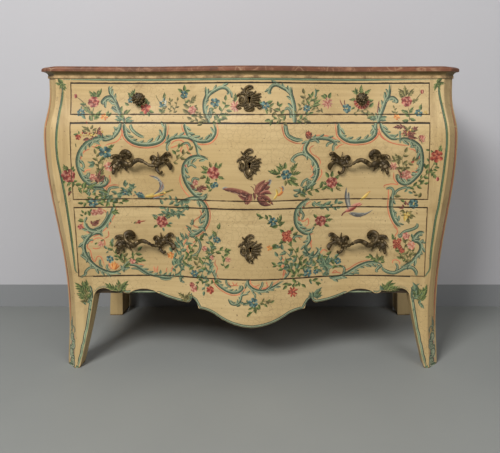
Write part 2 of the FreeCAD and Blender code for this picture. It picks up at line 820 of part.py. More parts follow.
def handle_stud_holes(height, inner_plane):
    """Holes for the studs of the right handle."""
    centre, spacing = number("opening_half - handle_inset"), number("handle_post_spacing")
    radius = number("stud_radius + stud_gap")
    return [stud(centre + side * spacing / 2, height, inner_plane, radius) for side in (-1, 1)]


def handle_nuts(height, inner_plane):
    """Nuts of the right handle."""
    centre, spacing = number("opening_half - handle_inset"), number("handle_post_spacing")
    return [nut(centre + side * spacing / 2, height, inner_plane) for side in (-1, 1)]


def mirror_x(shape):
    """Twin on the other side of the middle plane."""
    return shape.mirror(Vector(0, 0, 0), Vector(1, 0, 0))


# --------------------------------------------------------------------------- round knob
def sketch_polygon(body, plane_role, corners):
    """Closed sketch whose corners are held by distances bound to the sheet."""
    sketch = body.newObject("Sketcher::SketchObject", f"{body.Name}_profile")
    planes = {feature.Role: feature for feature in body.Origin.OriginFeatures}
    sketch.AttachmentSupport = [(planes[plane_role], "")]
    sketch.MapMode = "FlatFace"
    values = [Vector(number(x), number(y), 0) for x, y in corners]
    for i in range(len(values)):
        sketch.addGeometry(Part.LineSegment(values[i], values[(i + 1) % len(values)]), False)
    for i in range(len(values)):
        sketch.addConstraint(Sketcher.Constraint("Coincident", i, 2, (i + 1) % len(values), 1))
    for i, (x, y) in enumerate(corners):
        for kind, formula in (("DistanceX", x), ("DistanceY", y)):
            index = sketch.addConstraint(Sketcher.Constraint(kind, -1, 1, i, 1, number(formula)))
            sketch.setExpression(f"Constraints[{index}]", bound(formula))
    return sketch


# Half profile of a knob from its rose to its face: radius and distance from the wood.
KNOB_PROFILE = [
    ("0", "0 - stud_end"), ("knob_radius", "0 - stud_end"), ("knob_radius", "knob_reach * 0.08"),
    ("knob_radius * 0.7", "knob_reach * 0.17"), ("knob_neck_radius", "knob_reach * 0.25"),
    ("knob_neck_radius", "knob_reach * 0.42"), ("knob_radius * 0.62", "knob_reach * 0.54"),
    ("knob_radius * 0.78", "knob_reach * 0.71"), ("knob_radius * 0.72", "knob_reach * 0.88"),
    ("knob_radius * 0.4", "knob_reach"), ("0", "knob_reach"),
]


def knob_turning():
    """Turned and chased knob as a revolved profile, its axis along the sketch's vertical."""
    body = doc.addObject("PartDesign::Body", "knob_turning")
    sketch = sketch_polygon(body, "XY_Plane", KNOB_PROFILE)
    turning = body.newObject("PartDesign::Revolution", "knob_revolution")
    turning.Profile = sketch
    turning.ReferenceAxis = (sketch, ["V_Axis"])
    turning.Angle = 360
    return body


def knob(x, z, inner_plane, turning):
    """Knob on the curved front, facing out, with its stud."""
    body = turning.copy()
    body.Placement = FreeCAD.Placement(Vector(x, front_y(x, z), z),
                                       FreeCAD.Rotation(Vector(0, 0, 1), 180))
    return body.cut(form).fuse(stud(x, z, inner_plane, number("stud_radius")))


# --------------------------------------------------------------------------- drawer makers
def dovetails(count, root_y, low, high):
    """Tails that stand out in front of the right side of a drawer."""
    outer, wall = drawer_half, number("drawer_side_wall")
    length, width, flare = number("tail_length"), number("tail_width"), number("tail_flare")
    pitch = (high - low) / count
    tails = []
    for i in range(count):
        z = low + pitch * (i + 0.5)
        corners = [Vector(outer - wall, root_y, z - width / 2),
                   Vector(outer - wall, root_y - length, z - width / 2 - flare),
                   Vector(outer - wall, root_y - length, z + width / 2 + flare),
                   Vector(outer - wall, root_y, z + width / 2)]
        tails.append(prism(outline_edges(corners), Vector(wall, 0, 0)))
    return Part.makeCompound(tails)


def make_drawer(name, drawer):
    """One drawer with its lock: front, sides, back, bottom, lock case and bolt."""
    floor = drawer["floor"]
    low, high, plane = drawer["low"], drawer["high"], drawer["plane"]
    gap, running = number("front_gap"), number("running_gap")
    side_low = low + running
    side_high = high - number("drawer_side_drop")
    side_wall = number("drawer_side_wall")
    DEPTH = f"(half_depth - back_board_thickness - drawer_back_gap + {drawer['back_plane']})"
    SIDE_HEIGHT = f"({drawer['height']} - drawer_side_drop - running_gap)"

    # bottom: let into grooves of the front and the sides, passing under the back
    bottom_low = side_low + number("bottom_groove_rise")
    bottom_half = f"({DRAWER_HALF} - drawer_side_wall + bottom_groove_depth)"
    bottom = keep(board(f"{name}_bottom",
                        (-number(bottom_half), plane - number("bottom_groove_depth"), bottom_low),
                        f"2 * {bottom_half}", f"{DEPTH} + bottom_groove_depth",
                        "drawer_bottom_thickness"), f"{name}_bottom")

    # sides: dovetailed into the front, grooved for the bottom
    side_board = board(f"{name}_side_board", (drawer_half - side_wall, plane, side_low),
                       "drawer_side_wall", DEPTH, SIDE_HEIGHT)
    tails = carved(f"{name}_tails", dovetails(drawer["tails"], plane, side_low, side_high))
    tailed = joined("MultiFuse", f"{name}_tailed_side", [side_board, tails])
    right = keep(cut(f"{name}_right_side", tailed, [bottom]), f"{name}_right_side")
    left = keep(mirrored(f"{name}_left_side", right), f"{name}_left_side")

    # back: between the sides, standing on the bottom
    back_low = bottom_low + number("drawer_bottom_thickness")
    inner_half = f"({DRAWER_HALF} - drawer_side_wall)"
    keep(board(f"{name}_back",
               (-number(inner_half), drawer_back - number("drawer_back_wall"), back_low),
               f"2 * {inner_half}", "drawer_back_wall",
               f"{SIDE_HEIGHT} - bottom_groove_rise - drawer_bottom_thickness"), f"{name}_back")

    # lock: in a recess of the front, its bolt in a slot open at the top
    front_high = high - gap
    LOCK_HEIGHT = f"({drawer['key_drop']} - front_gap + lock_margin)"
    lock_low = front_high - number(LOCK_HEIGHT)
    recess = board(f"{name}_lock_recess", (-number("lock_half"), drawer["lock_y"], lock_low),
                   "2 * lock_half", f"{FAR}", LOCK_HEIGHT)
    lock_block = board(f"{name}_lock_block", (-number("lock_half"), drawer["lock_y"], lock_low),
                       "2 * lock_half", "lock_thickness", LOCK_HEIGHT)
    slot = bolt_box(f"{name}_bolt_slot", drawer,
                    front_high - number("bolt_length + 2 * bolt_gap"),
                    "bolt_length + 2 * bolt_gap", "bolt_gap")
    bolt = bolt_box(f"{name}_lock_bolt", drawer, front_high - number("bolt_length + bolt_gap"),
                    "bolt_length", "0")
    keep(bolt, f"{name}_lock_bolt")

    key = carved(f"{name}_key_hole", key_hole(drawer["key_z"], -FAR, plane))
    keep(cut(f"{name}_lock_case", lock_block, [slot, key]), f"{name}_lock_case")

    # front: cut from the bowed form
    blank = board(f"{name}_front_blank", (-drawer_half, -FAR, low + gap), f"2 * {DRAWER_HALF}",
                  f"{FAR} - {drawer['back_plane']}", f"{drawer['height']} - 2 * front_gap")
    shaped = joined("MultiCommon", f"{name}_front_shaped", [case_form, blank])
    return shaped, [left, right, bottom, recess, key]


turning_shape = solid_of(knob_turning())
for drawer_name, drawer in DRAWERS.items():
    shaped_front, fitted = make_drawer(drawer_name, drawer)
    plane = drawer["plane"]
    plate_height = number(drawer["escutcheon_height"])

    # escutcheon and its pins
    places = pin_places(drawer, plate_height)
    holes = Part.makeCompound([pin_hole(*place) for place in places])
    cartouche = escutcheon(drawer, plate_height).cut(holes)
    cartouche = cartouche.cut(key_hole(drawer["key_z"], -FAR, 0))
    keep(carved(f"{drawer_name}_escutcheon", cartouche), f"{drawer_name}_escutcheon")
    keep(carved(f"{drawer_name}_pins", Part.makeCompound([pin(*place) for place in places])),
         f"{drawer_name}_pins")
    fitted.append(carved(f"{drawer_name}_pin_holes", holes))

    # handles or knobs, with their nuts
    if drawer_name == "top_drawer":
        knob_x = number("opening_half - knob_inset")
        knob_z = (drawer["low"] + drawer["high"]) / 2
        right_pull = knob(knob_x, knob_z, plane, turning_shape)
        right_holes = [stud(knob_x, knob_z, plane, number("stud_radius + stud_gap"))]
        right_nuts = [nut(knob_x, knob_z, plane)]
        pull = "knob"
    else:
        handle_z = number(f"{drawer_name.split('_')[0]}_handle_height")
        right_pull = handle(handle_z, plane)
        right_holes = handle_stud_holes(handle_z, plane)
        right_nuts = handle_nuts(handle_z, plane)
        pull = "handle"
    keep(carved(f"{drawer_name}_right_{pull}", right_pull), f"{drawer_name}_right_{pull}")
    keep(carved(f"{drawer_name}_left_{pull}", mirror_x(right_pull)), f"{drawer_name}_left_{pull}")
    both_nuts = right_nuts + [mirror_x(shape) for shape in right_nuts]
    keep(carved(f"{drawer_name}_nuts", Part.makeCompound(both_nuts)), f"{drawer_name}_nuts")
    both_holes = right_holes + [mirror_x(shape) for shape in right_holes]
    fitted.append(carved(f"{drawer_name}_stud_holes", Part.makeCompound(both_holes)))

    keep(cut(f"{drawer_name}_front", shaped_front, fitted), f"{drawer_name}_front")

# --------------------------------------------------------------------------- check and export
doc.recompute()
for feature in doc.Objects:
    faults = [state for state in feature.State if state in ("Invalid", "Error")]
    if faults:
        raise RuntimeError(f"{feature.Label}: {faults}")
for feature in subparts:
    if feature.Shape.isNull() or not feature.Shape.isValid() or not feature.Shape.Solids:
        raise RuntimeError(f"{feature.Label}: no valid solid")
os.makedirs("parts", exist_ok=True)
for feature in subparts:
    feature.Shape.exportStep(f"parts/{feature.Label}.step")
whole = Part.makeCompound([feature.Shape for feature in subparts])
box = whole.BoundBox
print(f"{len(subparts)} nodes; x {box.XMin:.2f} {box.XMax:.2f}; y {box.YMin:.2f} {box.YMax:.2f}; "
      f"z {box.ZMin:.2f} {box.ZMax:.2f}")
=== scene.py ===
"""Painted bombe chest of three drawers. Metres, +Z up, front along -Y."""
import math
import random
from functools import partial

import bmesh
import bpy
from mathutils import Matrix, Vector
from mathutils.bvhtree import BVHTree


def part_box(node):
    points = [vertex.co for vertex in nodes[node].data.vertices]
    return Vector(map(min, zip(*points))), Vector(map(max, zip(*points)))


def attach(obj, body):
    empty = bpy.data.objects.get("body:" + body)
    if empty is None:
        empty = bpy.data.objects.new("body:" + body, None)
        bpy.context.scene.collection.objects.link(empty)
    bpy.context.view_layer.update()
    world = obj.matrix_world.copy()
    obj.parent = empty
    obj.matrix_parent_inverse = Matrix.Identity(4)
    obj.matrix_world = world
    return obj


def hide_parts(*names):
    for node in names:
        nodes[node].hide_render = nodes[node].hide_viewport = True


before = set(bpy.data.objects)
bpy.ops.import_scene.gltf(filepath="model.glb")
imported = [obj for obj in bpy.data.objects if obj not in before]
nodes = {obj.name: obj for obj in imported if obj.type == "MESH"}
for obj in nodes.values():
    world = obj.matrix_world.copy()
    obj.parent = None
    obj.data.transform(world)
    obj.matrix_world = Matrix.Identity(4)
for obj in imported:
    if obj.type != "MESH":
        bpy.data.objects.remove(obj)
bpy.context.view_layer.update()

bpy.context.scene.view_settings.view_transform = "Standard"

# ---------------------------------------------------------------------------------------------
# Camera, room and lamps: a level floor, a plain wall close behind, one broad lamp from the upper
# left, a weaker one from the right, as in a small studio, and a low one behind the wall.
eye = bpy.data.cameras.new("eye")
eye.sensor_width = 36
eye.lens = 40.2
eye.shift_x = -0.0833
eye.shift_y = -0.1677
camera = bpy.data.objects.new("eye", eye)
camera.location = (0.1140, -1.7730, 0.7440)
camera.rotation_euler = (math.radians(90 - 3.5), 0, 0)
bpy.context.scene.collection.objects.link(camera)
bpy.context.scene.camera = camera


def fill(tree, node, inputs):
    """Give a node's inputs their links, numbers, vectors and colours."""
    for name, value in inputs.items():
        socket = node.inputs[name]
        if isinstance(value, bpy.types.NodeSocket):
            tree.links.new(value, socket)
        else:
            socket.default_value = (*value, 1) if socket.type == "RGBA" else value
    return node


def add(tree, kind, inputs=None, **settings):
    """New shader node with its settings and its inputs."""
    made = tree.nodes.new(f"ShaderNode{kind}")
    for name, value in settings.items():
        setattr(made, name, value)
    return fill(tree, made, inputs or {})


def blank_material(name):
    """Material with its Principled BSDF and its Object coordinates."""
    material = bpy.data.materials.new(name)
    material.use_nodes = True
    tree = material.node_tree
    return material, tree, tree.nodes["Principled BSDF"], add(tree, "TexCoord").outputs["Object"]


def noise(tree, place, scale, detail, roughness=0.5, distortion=0.0):
    """Value of a cloudy noise."""
    return add(tree, "TexNoise", {"Vector": place, "Scale": scale, "Detail": detail,
                                  "Roughness": roughness, "Distortion": distortion}).outputs["Fac"]


def mixed(tree, mask, first, second, blend="MIX"):
    """Colour that goes from first to second as the mask rises."""
    return add(tree, "Mix", {0: mask, 6: first, 7: second}, data_type="RGBA",
               blend_type=blend).outputs[2]


def reckon(tree, operation, *values, kind="Math"):
    """Result of one sum on numbers, or on vectors where kind is VectorMath."""
    return add(tree, kind, dict(enumerate(values)), operation=operation).outputs[0]


def mesh_object(name, shape, material):
    """Object at the origin from a bmesh, with its material."""
    mesh = bpy.data.meshes.new(name)
    shape.to_mesh(mesh)
    shape.free()
    mesh.materials.append(material)
    made = bpy.data.objects.new(name, mesh)
    bpy.context.scene.collection.objects.link(made)
    return made


def flat(name, material, size, matrix=Matrix.Identity(4)):
    """Rectangle of the room."""
    shape = bmesh.new()
    bmesh.ops.create_grid(shape, x_segments=1, y_segments=1, size=size, matrix=matrix)
    return mesh_object(name, shape, material)


ROOM_HALF = 6
floor_paint, tree, surface, place = blank_material("floor_paint")
mottle = noise(tree, place, 2.3, 6.0)
fill(tree, surface, {"Base Color": mixed(tree, mottle, (0.275, 0.29, 0.285), (0.33, 0.345, 0.335)),
                     "Roughness": 0.62})
floor = flat("floor", floor_paint, ROOM_HALF)

# the wall shows from the front alone; behind the chest it lets the low lamp's light through to
# the back, while over the open space under the case it stops light, so the floor there is dark
WALL_Y, SKIRTING_Y, SKIRTING_HEIGHT = 0.291, 0.288, 0.084
CASE_FLOOR, CASE_HALF = 0.195, 0.58
LEG_MIDDLE, LEG_HALF = 0.5125, 0.0175
wall_paint, tree, surface, place = blank_material("wall_paint")
fill(tree, surface, {"Base Color": (0.54, 0.54, 0.57), "Roughness": 0.9})
rays = add(tree, "LightPath").outputs
parts = add(tree, "SeparateXYZ", {0: place}).outputs
aside = reckon(tree, "ABSOLUTE", parts["X"])
above = reckon(tree, "GREATER_THAN", parts["Z"], CASE_FLOOR)
behind_case = reckon(tree, "MULTIPLY", above, reckon(tree, "LESS_THAN", aside, CASE_HALF))
behind_leg = reckon(tree, "COMPARE", aside, LEG_MIDDLE, LEG_HALF)
lit = reckon(tree, "MULTIPLY", reckon(tree, "MAXIMUM", behind_case, behind_leg), rays["Is Shadow Ray"])
outer = reckon(tree, "GREATER_THAN", aside, LEG_MIDDLE - LEG_HALF)
passed = reckon(tree, "MULTIPLY", reckon(tree, "MAXIMUM", above, outer), rays["Is Diffuse Ray"])
hidden = reckon(tree, "MAXIMUM", add(tree, "NewGeometry").outputs["Backfacing"],
                reckon(tree, "MAXIMUM", lit, passed))
clear = add(tree, "BsdfTransparent").outputs[0]
shown = add(tree, "MixShader", {0: hidden, 1: surface.outputs[0], 2: clear}).outputs[0]
fill(tree, tree.nodes["Material Output"], {"Surface": shown})
upright = Matrix.Rotation(math.pi / 2, 4, "X")
wall = flat("wall", wall_paint, ROOM_HALF, Matrix.Translation((0, WALL_Y, 0)) @ upright)
skirting_paint = wall_paint.copy()
skirting_paint.name = "skirting_paint"
tree = skirting_paint.node_tree
fill(tree, tree.nodes["Principled BSDF"], {"Base Color": (0.27, 0.28, 0.29)})
skirting = flat("skirting", skirting_paint, 0.5,
                Matrix.Translation((0, SKIRTING_Y, SKIRTING_HEIGHT / 2)) @ upright
                @ Matrix.Diagonal((2 * ROOM_HALF, SKIRTING_HEIGHT, 1, 1)))


def lamp(name, place, aim, size, power, blue):
    """Square soft lamp turned towards a point."""
    light = bpy.data.lights.new(name, "AREA")
    light.size = size
    light.energy = power
    light.color = (1.0, 0.98, blue)
    made = bpy.data.objects.new(name, light)
    made.location = place
    made.rotation_euler = (Vector(aim) - Vector(place)).to_track_quat("-Z", "Y").to_euler()
    bpy.context.scene.collection.objects.link(made)
    return light


lamp("window", (-1.2, -2.8, 2.7), (0.1, 0, 0.5), 1.25, 118, 0.95)
lamp("fill", (1.7, -2.9, 2.5), (0.1, 0, 0.5), 2.0, 44, 0.96)
low_lamp = lamp("back_lamp", (0, 2.1, 0.5), (0, 0, 0.5), 1.8, 36, 0.96)
low_lamp.shape = "RECTANGLE"
low_lamp.size_y = 0.5
world = bpy.data.worlds.new("room")
world.use_nodes = True
tree = world.node_tree
seen = add(tree, "LightPath").outputs["Is Camera Ray"]
fill(tree, tree.nodes["Background"], {"Color": (0.92, 0.95, 1.0),
                                      "Strength": reckon(tree, "MULTIPLY_ADD", seen, 0.6, 0.085)})
bpy.context.scene.world = world


# ---------------------------------------------------------------------------------------------
# Painted carcass: softwood legs, rails, apron, sides and drawer fronts under gesso and cream oil
# paint. The ground has crackled, yellowed under its varnish and rubbed through at the edges; a
# near-black line painted under the upper edge of the fronts and apron is the shadow of the gap.
def new_group(name, inputs):
    """Empty node group with its inputs and one output, a mask."""
    group = bpy.data.node_groups.new(name, "ShaderNodeTree")
    for label, kind, value in inputs:
        made = group.interface.new_socket(label, in_out="INPUT", socket_type=kind)
        if value is not None:
            made.default_value = value
    group.interface.new_socket("Mask", in_out="OUTPUT", socket_type="NodeSocketFloat")
    return group, group.nodes.new("NodeGroupInput").outputs, group.nodes.new("NodeGroupOutput")


def ranged(tree, value, low, high, start=0.0, end=1.0, ease="SMOOTHSTEP"):
    """Value taken from one range to another."""
    return add(tree, "MapRange", {"Value": value, "From Min": low, "From Max": high, "To Min": start,
                                  "To Max": end}, interpolation_type=ease).outputs["Result"]


def tinted(tree, colour, tone, value, low, high, most=1.0):
    """Colour drawn towards a tone as the value goes from low to high."""
    return mixed(tree, ranged(tree, value, low, high, 0.0, most), colour, tone)


def masked(tree, group, place, **settings):
    """Mask of a node group at a place."""
    return add(tree, "Group", {"Vector": place, **settings}, node_tree=group).outputs["Mask"]


def embossed(tree, surface, height, strength, distance=0.0006):
    """Give a surface a slight relief."""
    bump = add(tree, "Bump", {"Height": height, "Strength": strength, "Distance": distance})
    fill(tree, surface, {"Normal": bump.outputs["Normal"]})


VECTOR, NUMBER = "NodeSocketVector", "NodeSocketFloat"

# fine dark cracks in a dry paint film
crackle, given, out = new_group("crackle", [("Vector", VECTOR, None), ("Scale", NUMBER, 60.0),
                                            ("Width", NUMBER, 0.05), ("Amount", NUMBER, 0.5)])
bend = add(crackle, "TexNoise", {"Vector": given["Vector"], "Scale": 22.0, "Detail": 3.0})
bent = reckon(crackle, "MULTIPLY", bend.outputs["Color"], (0.012, 0.012, 0.012), kind="VectorMath")
moved = reckon(crackle, "ADD", given["Vector"], bent, kind="VectorMath")
cells = add(crackle, "TexVoronoi", {"Vector": moved, "Scale": given["Scale"]},
            feature="DISTANCE_TO_EDGE")
line = ranged(crackle, cells.outputs["Distance"], 0.0, given["Width"], 1.0, 0.0, "LINEAR")
here = ranged(crackle, noise(crackle, given["Vector"], 5.0, 2.0), 0.38, 0.62)
part = reckon(crackle, "MULTIPLY", line, here)
fill(crackle, out, {"Mask": reckon(crackle, "MULTIPLY", part, given["Amount"])})

# long wood grain or brush lines, drawn out along one direction
grain, given, out = new_group("grain", [("Vector", VECTOR, None), ("Across", VECTOR, (2.0, 20.0, 90.0)),
                                        ("Contrast", NUMBER, 0.5)])
drawn = reckon(grain, "MULTIPLY", given["Vector"], given["Across"], kind="VectorMath")
spread = ranged(grain, noise(grain, drawn, 1.0, 8.0, 0.65, 0.4), 0.35, 0.7)
fill(grain, out, {"Mask": reckon(grain, "MULTIPLY", spread, given["Contrast"])})

# darkening and rubbing near the rim of a board, between two corners, seen from the front
rim, given, out = new_group("rim", [("Vector", VECTOR, None), ("Low", VECTOR, None),
                                    ("High", VECTOR, None), ("Width", NUMBER, 0.006)])
from_low = reckon(rim, "SUBTRACT", given["Vector"], given["Low"], kind="VectorMath")
from_high = reckon(rim, "SUBTRACT", given["High"], given["Vector"], kind="VectorMath")
low_parts, high_parts = (add(rim, "SeparateXYZ", {0: gap}).outputs for gap in (from_low, from_high))
near_x, near_z = (reckon(rim, "MINIMUM", low_parts[axis], high_parts[axis]) for axis in "XZ")
uneven = reckon(rim, "ADD", noise(rim, given["Vector"], 38.0, 6.0, 0.7), -0.5)
shifted = reckon(rim, "MULTIPLY_ADD", uneven, 0.007, reckon(rim, "MINIMUM", near_x, near_z))
fill(rim, out, {"Mask": ranged(rim, shifted, 0.0, given["Width"], 1.0, 0.0)})


def cream_paint(name, low, high, width=0.0026, across=(2.0, 12.0, 110.0), dirt_and_gap_shade=0.0, streaks=0.34):
    """Aged cream ground for one board, rubbed along the rim between the two corners, with a painted
    shadow of the gap as a near-black line along its upper edge."""
    material, tree, surface, place = blank_material(name)
    height = add(tree, "SeparateXYZ", {0: place}).outputs["Z"]
    cloud = noise(tree, place, 3.2, 5.0, 0.55)
    stain = noise(tree, place, 9.0, 7.0, 0.6, 0.6)
    lines = masked(tree, grain, place, Across=across, Contrast=streaks)
    cracks = masked(tree, crackle, place, Scale=70.0, Width=0.045, Amount=0.42)
    colour = tinted(tree, (0.655, 0.49, 0.245), (0.56, 0.40, 0.18), cloud, 0.32, 0.68)
    colour = tinted(tree, colour, (0.36, 0.235, 0.095), stain, 0.52, 0.78, 0.6)
    colour = mixed(tree, lines, colour, (0.34, 0.22, 0.09))
    colour = mixed(tree, cracks, colour, (0.20, 0.12, 0.05))
    specks = noise(tree, place, 150.0, 3.0)
    colour = tinted(tree, colour, (0.15, 0.085, 0.035), specks, 0.66, 0.74, 0.75)
    # each board is painted darker and more ochre towards its bottom, mottled by the cloud noise
    if low[2] > 0:
        darker_below = reckon(tree, "MULTIPLY", ranged(tree, height, high[2], low[2], 0.0, 0.75), cloud)
        colour = mixed(tree, darker_below, colour, (0.42, 0.285, 0.115))
    worn = masked(tree, rim, place, Low=low, High=high, Width=width)
    colour = mixed(tree, worn, colour, (0.105, 0.06, 0.025))
    # painted shadow of the gap above the board: a near-black line just under its upper edge, on faces
    # not turned up
    if dirt_and_gap_shade:
        normal = add(tree, "NewGeometry").outputs["Normal"]
        upward = add(tree, "SeparateXYZ", {0: normal}).outputs["Z"]
        line = ranged(tree, height, high[2] - dirt_and_gap_shade, high[2] - 0.75 * dirt_and_gap_shade)
        line = reckon(tree, "MULTIPLY", line, ranged(tree, upward, 0.8, 0.6))
        colour = mixed(tree, line, colour, (0.010, 0.007, 0.004))
    fill(tree, surface, {"Base Color": colour, "Roughness": ranged(tree, stain, 0.3, 0.7, 0.42, 0.60)})
    embossed(tree, surface, reckon(tree, "MULTIPLY_ADD", cracks, -1.0, lines), 0.25)
    return material


def dress(material, *names):
    """Give CAD nodes a material."""
    for name in names:
        mesh = nodes[name].data
        mesh.materials.clear()
        mesh.materials.append(material)


FAR = 5.0
CASE_TOP = 0.834
# last number of each: depth of the painted gap shadow under the upper edge of the front
for name, dirt_and_gap_shade in (("top_drawer_front", 0.0024), ("middle_drawer_front", 0.0032),
                   ("bottom_drawer_front", 0.0018)):
    dress(cream_paint(f"{name}_paint", *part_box(name), dirt_and_gap_shade=dirt_and_gap_shade), name)
for name in ("front_top_rail", "upper_drawer_rail", "lower_drawer_rail"):
    low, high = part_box(name)
    dress(cream_paint(f"{name}_paint", (-FAR, -FAR, low.z), (FAR, FAR, high.z), 0.0018), name)
low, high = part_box("front_apron")
# the apron also gets the painted gap shadow under its upper edge
apron_paint = cream_paint("front_apron_paint", (-FAR, -FAR, -FAR), (FAR, FAR, high.z), 0.0018,
                          dirt_and_gap_shade=0.0018)
dress(apron_paint, "front_apron")
# behind its cut edge the apron is bare and dark
tree = apron_paint.node_tree
surface = tree.nodes["Principled BSDF"]
depth = add(tree, "SeparateXYZ", {0: tree.nodes["Texture Coordinate"].outputs["Object"]}).outputs["Y"]
painted = surface.inputs["Base Color"].links[0].from_socket
PAINTED_TO, BARE_FROM = -0.1935, -0.1915
bare = tinted(tree, painted, (0.06, 0.038, 0.018), depth, PAINTED_TO, BARE_FROM)
fill(tree, surface, {"Base Color": bare})
for side in ("left", "right"):
    for piece, floor_z, across, streaks in (("corner_leg", 0.0, (48.0, 48.0, 2.0), 0.62),
                                            ("back_leg", 0.0, (30.0, 30.0, 2.5), 0.34),
                                            ("side_panel", -FAR, (20.0, 40.0, 2.0), 0.34)):
        dress(cream_paint(f"{piece}_{side}_paint", (-FAR, -FAR, floor_z), (FAR, FAR, CASE_TOP), 0.006,
                          across, streaks=streaks), f"{piece}_{side}")


# ---------------------------------------------------------------------------------------------
# Top and its moulding: softwood, painted over gesso as red-brown marble on the upper edge and
# the upper face, and olive in the cove below.
marble, tree, surface, place = blank_material("red_marbling")
height = add(tree, "SeparateXYZ", {0: place}).outputs["Z"]
flow = noise(tree, place, 6.0, 4.0, distortion=1.4)
cloud = noise(tree, place, 26.0, 8.0, 0.7, 1.2)
veins = masked(tree, crackle, place, Scale=17.0, Width=0.035, Amount=0.7)
colour = tinted(tree, (0.205, 0.070, 0.032), (0.130, 0.050, 0.024), flow, 0.35, 0.65)
colour = tinted(tree, colour, (0.38, 0.20, 0.115), cloud, 0.50, 0.70, 0.85)
colour = tinted(tree, colour, (0.085, 0.035, 0.02), cloud, 0.47, 0.30, 0.9)
colour = mixed(tree, veins, colour, (0.42, 0.26, 0.15))
cove_colour = tinted(tree, (0.30, 0.21, 0.085), (0.20, 0.135, 0.05), cloud, 0.35, 0.65)
COVE_TOP = 0.8445
colour = tinted(tree, cove_colour, colour, height, COVE_TOP - 0.001, COVE_TOP + 0.001)
fill(tree, surface, {"Base Color": colour, "Roughness": 0.52, "Specular IOR Level": 0.35})
embossed(tree, surface, cloud, 0.25)
dress(marble, "top_board")

strip_paint, tree, surface, place = blank_material("moulding_paint")
uneven = noise(tree, place, 40.0, 7.0, 0.7)
colour = tinted(tree, (0.50, 0.33, 0.15), (0.17, 0.10, 0.04), uneven, 0.4, 0.66)
fill(tree, surface, {"Base Color": colour, "Roughness": 0.5})
embossed(tree, surface, uneven, 0.3, 0.0005)
dress(strip_paint, "top_moulding")


# ---------------------------------------------------------------------------------------------
# Unpainted wood: drawer sides, backs and bottoms, runners, guides, stops, back and bottom
# boards. Sawn and planed softwood, never finished, darkened by age and handling.
def plain_wood(name, across, light, dark):
    """Old bare softwood with its grain along one direction."""
    material, tree, surface, place = blank_material(name)
    lines = masked(tree, grain, place, Across=across, Contrast=0.9)
    ring = reckon(tree, "MULTIPLY", place, tuple(v * 0.22 for v in across), kind="VectorMath")
    rings = add(tree, "TexWave", {"Vector": ring, "Scale": 1.4, "Distortion": 7.0, "Detail": 3.0,
                                  "Detail Scale": 0.7}).outputs["Fac"]
    colour = tinted(tree, mixed(tree, lines, light, dark), dark, rings, 0.55, 1.0, 0.4)
    dirt_and_gap_shade = noise(tree, place, 6.0, 6.0)
    colour = tinted(tree, colour, tuple(v * 0.4 for v in dark), dirt_and_gap_shade, 0.5, 0.75, 0.55)
    fill(tree, surface, {"Base Color": colour, "Roughness": 0.82})
    embossed(tree, surface, lines, 0.35, 0.0008)
    return material


DRAWERS = ("top", "middle", "bottom")
pine_across = plain_wood("pine_across", (2.0, 50.0, 60.0), (0.42, 0.27, 0.135), (0.20, 0.115, 0.05))
pine_along = plain_wood("pine_along", (60.0, 2.0, 60.0), (0.45, 0.295, 0.15), (0.22, 0.13, 0.06))
dress(pine_across, "back_boards", "back_top_rail", "back_bottom_rail", "bottom_board", "drawer_stops")
dress(pine_along, "drawer_guides")
for drawer in DRAWERS:
    dress(pine_along, *(f"{drawer}_drawer_{part}" for part in ("runners", "left_side", "right_side")))
    dress(pine_across, f"{drawer}_drawer_back", f"{drawer}_drawer_bottom")

# ---------------------------------------------------------------------------------------------
# Ironwork: lock cases let into the backs of the drawer fronts, bolts that slide up out of them,
# nuts of the handles and knobs and the nails of the back. Forged, dry and dark, with rust.
iron, tree, surface, place = blank_material("forged_iron")
rust = noise(tree, place, 90.0, 8.0, 0.7)
colour = tinted(tree, (0.085, 0.08, 0.078), (0.16, 0.065, 0.028), rust, 0.5, 0.66)
fill(tree, surface, {"Base Color": colour, "Metallic": ranged(tree, rust, 0.48, 0.62, 0.8, 0.1),
                     "Roughness": ranged(tree, rust, 0.4, 0.7, 0.48, 0.85)})
embossed(tree, surface, rust, 0.4, 0.0005)
dress(iron, "back_nails")
for drawer in DRAWERS:
    dress(iron, *(f"{drawer}_drawer_{part}" for part in ("lock_case", "lock_bolt", "nuts")))

# ---------------------------------------------------------------------------------------------
# Handles: each is two leafy bronze mounts bolted through the drawer front and a fixed twisting
# bar. Cast and chased, with a dark olive patina that is rubbed bright on the high places.
bronze, tree, surface, place = blank_material("dark_bronze")
patina = noise(tree, place, 70.0, 7.0, 0.65)
relief = add(tree, "NewGeometry").outputs["Pointiness"]
colour = tinted(tree, (0.045, 0.029, 0.010), (0.105, 0.070, 0.026), patina, 0.35, 0.65)
colour = tinted(tree, colour, (0.25, 0.18, 0.085), relief, 0.535, 0.66)
colour = tinted(tree, colour, (0.012, 0.008, 0.004), relief, 0.49, 0.44)
fill(tree, surface, {"Base Color": colour, "Metallic": ranged(tree, patina, 0.4, 0.7, 0.25, 0.7),
                     "Roughness": ranged(tree, patina, 0.35, 0.7, 0.55, 0.36)})
embossed(tree, surface, patina, 0.5)
MM = 0.001
FORWARD, INWARD = Vector((0, -1, 0)), Vector((0, 1, 0))


def skin_of(node):
    """Ray-casting tree of a CAD node's surface."""
    mesh = nodes[node].data
    return BVHTree.FromPolygons([v.co for v in mesh.vertices], [f.vertices[:] for f in mesh.polygons])


FRONTS = [f"{drawer}_drawer_front" for drawer in DRAWERS]
skins = {node: skin_of(node) for node in ("front_apron", *FRONTS)}


def wood_y(node, x, z):
    """Y of a board's front at a place in metres, averaged so that small holes don't count."""
    hits = []
    for across, up in ((5, 0), (-5, 0), (0, 5), (0, -5)):
        hit = skins[node].ray_cast(Vector((x + across * MM, -1, z + up * MM)), INWARD)[0]
        if hit is not None:
            hits.append(hit.y)
    near = [y for y in hits if y < min(hits) + 6 * MM]
    return sum(near) / len(near)


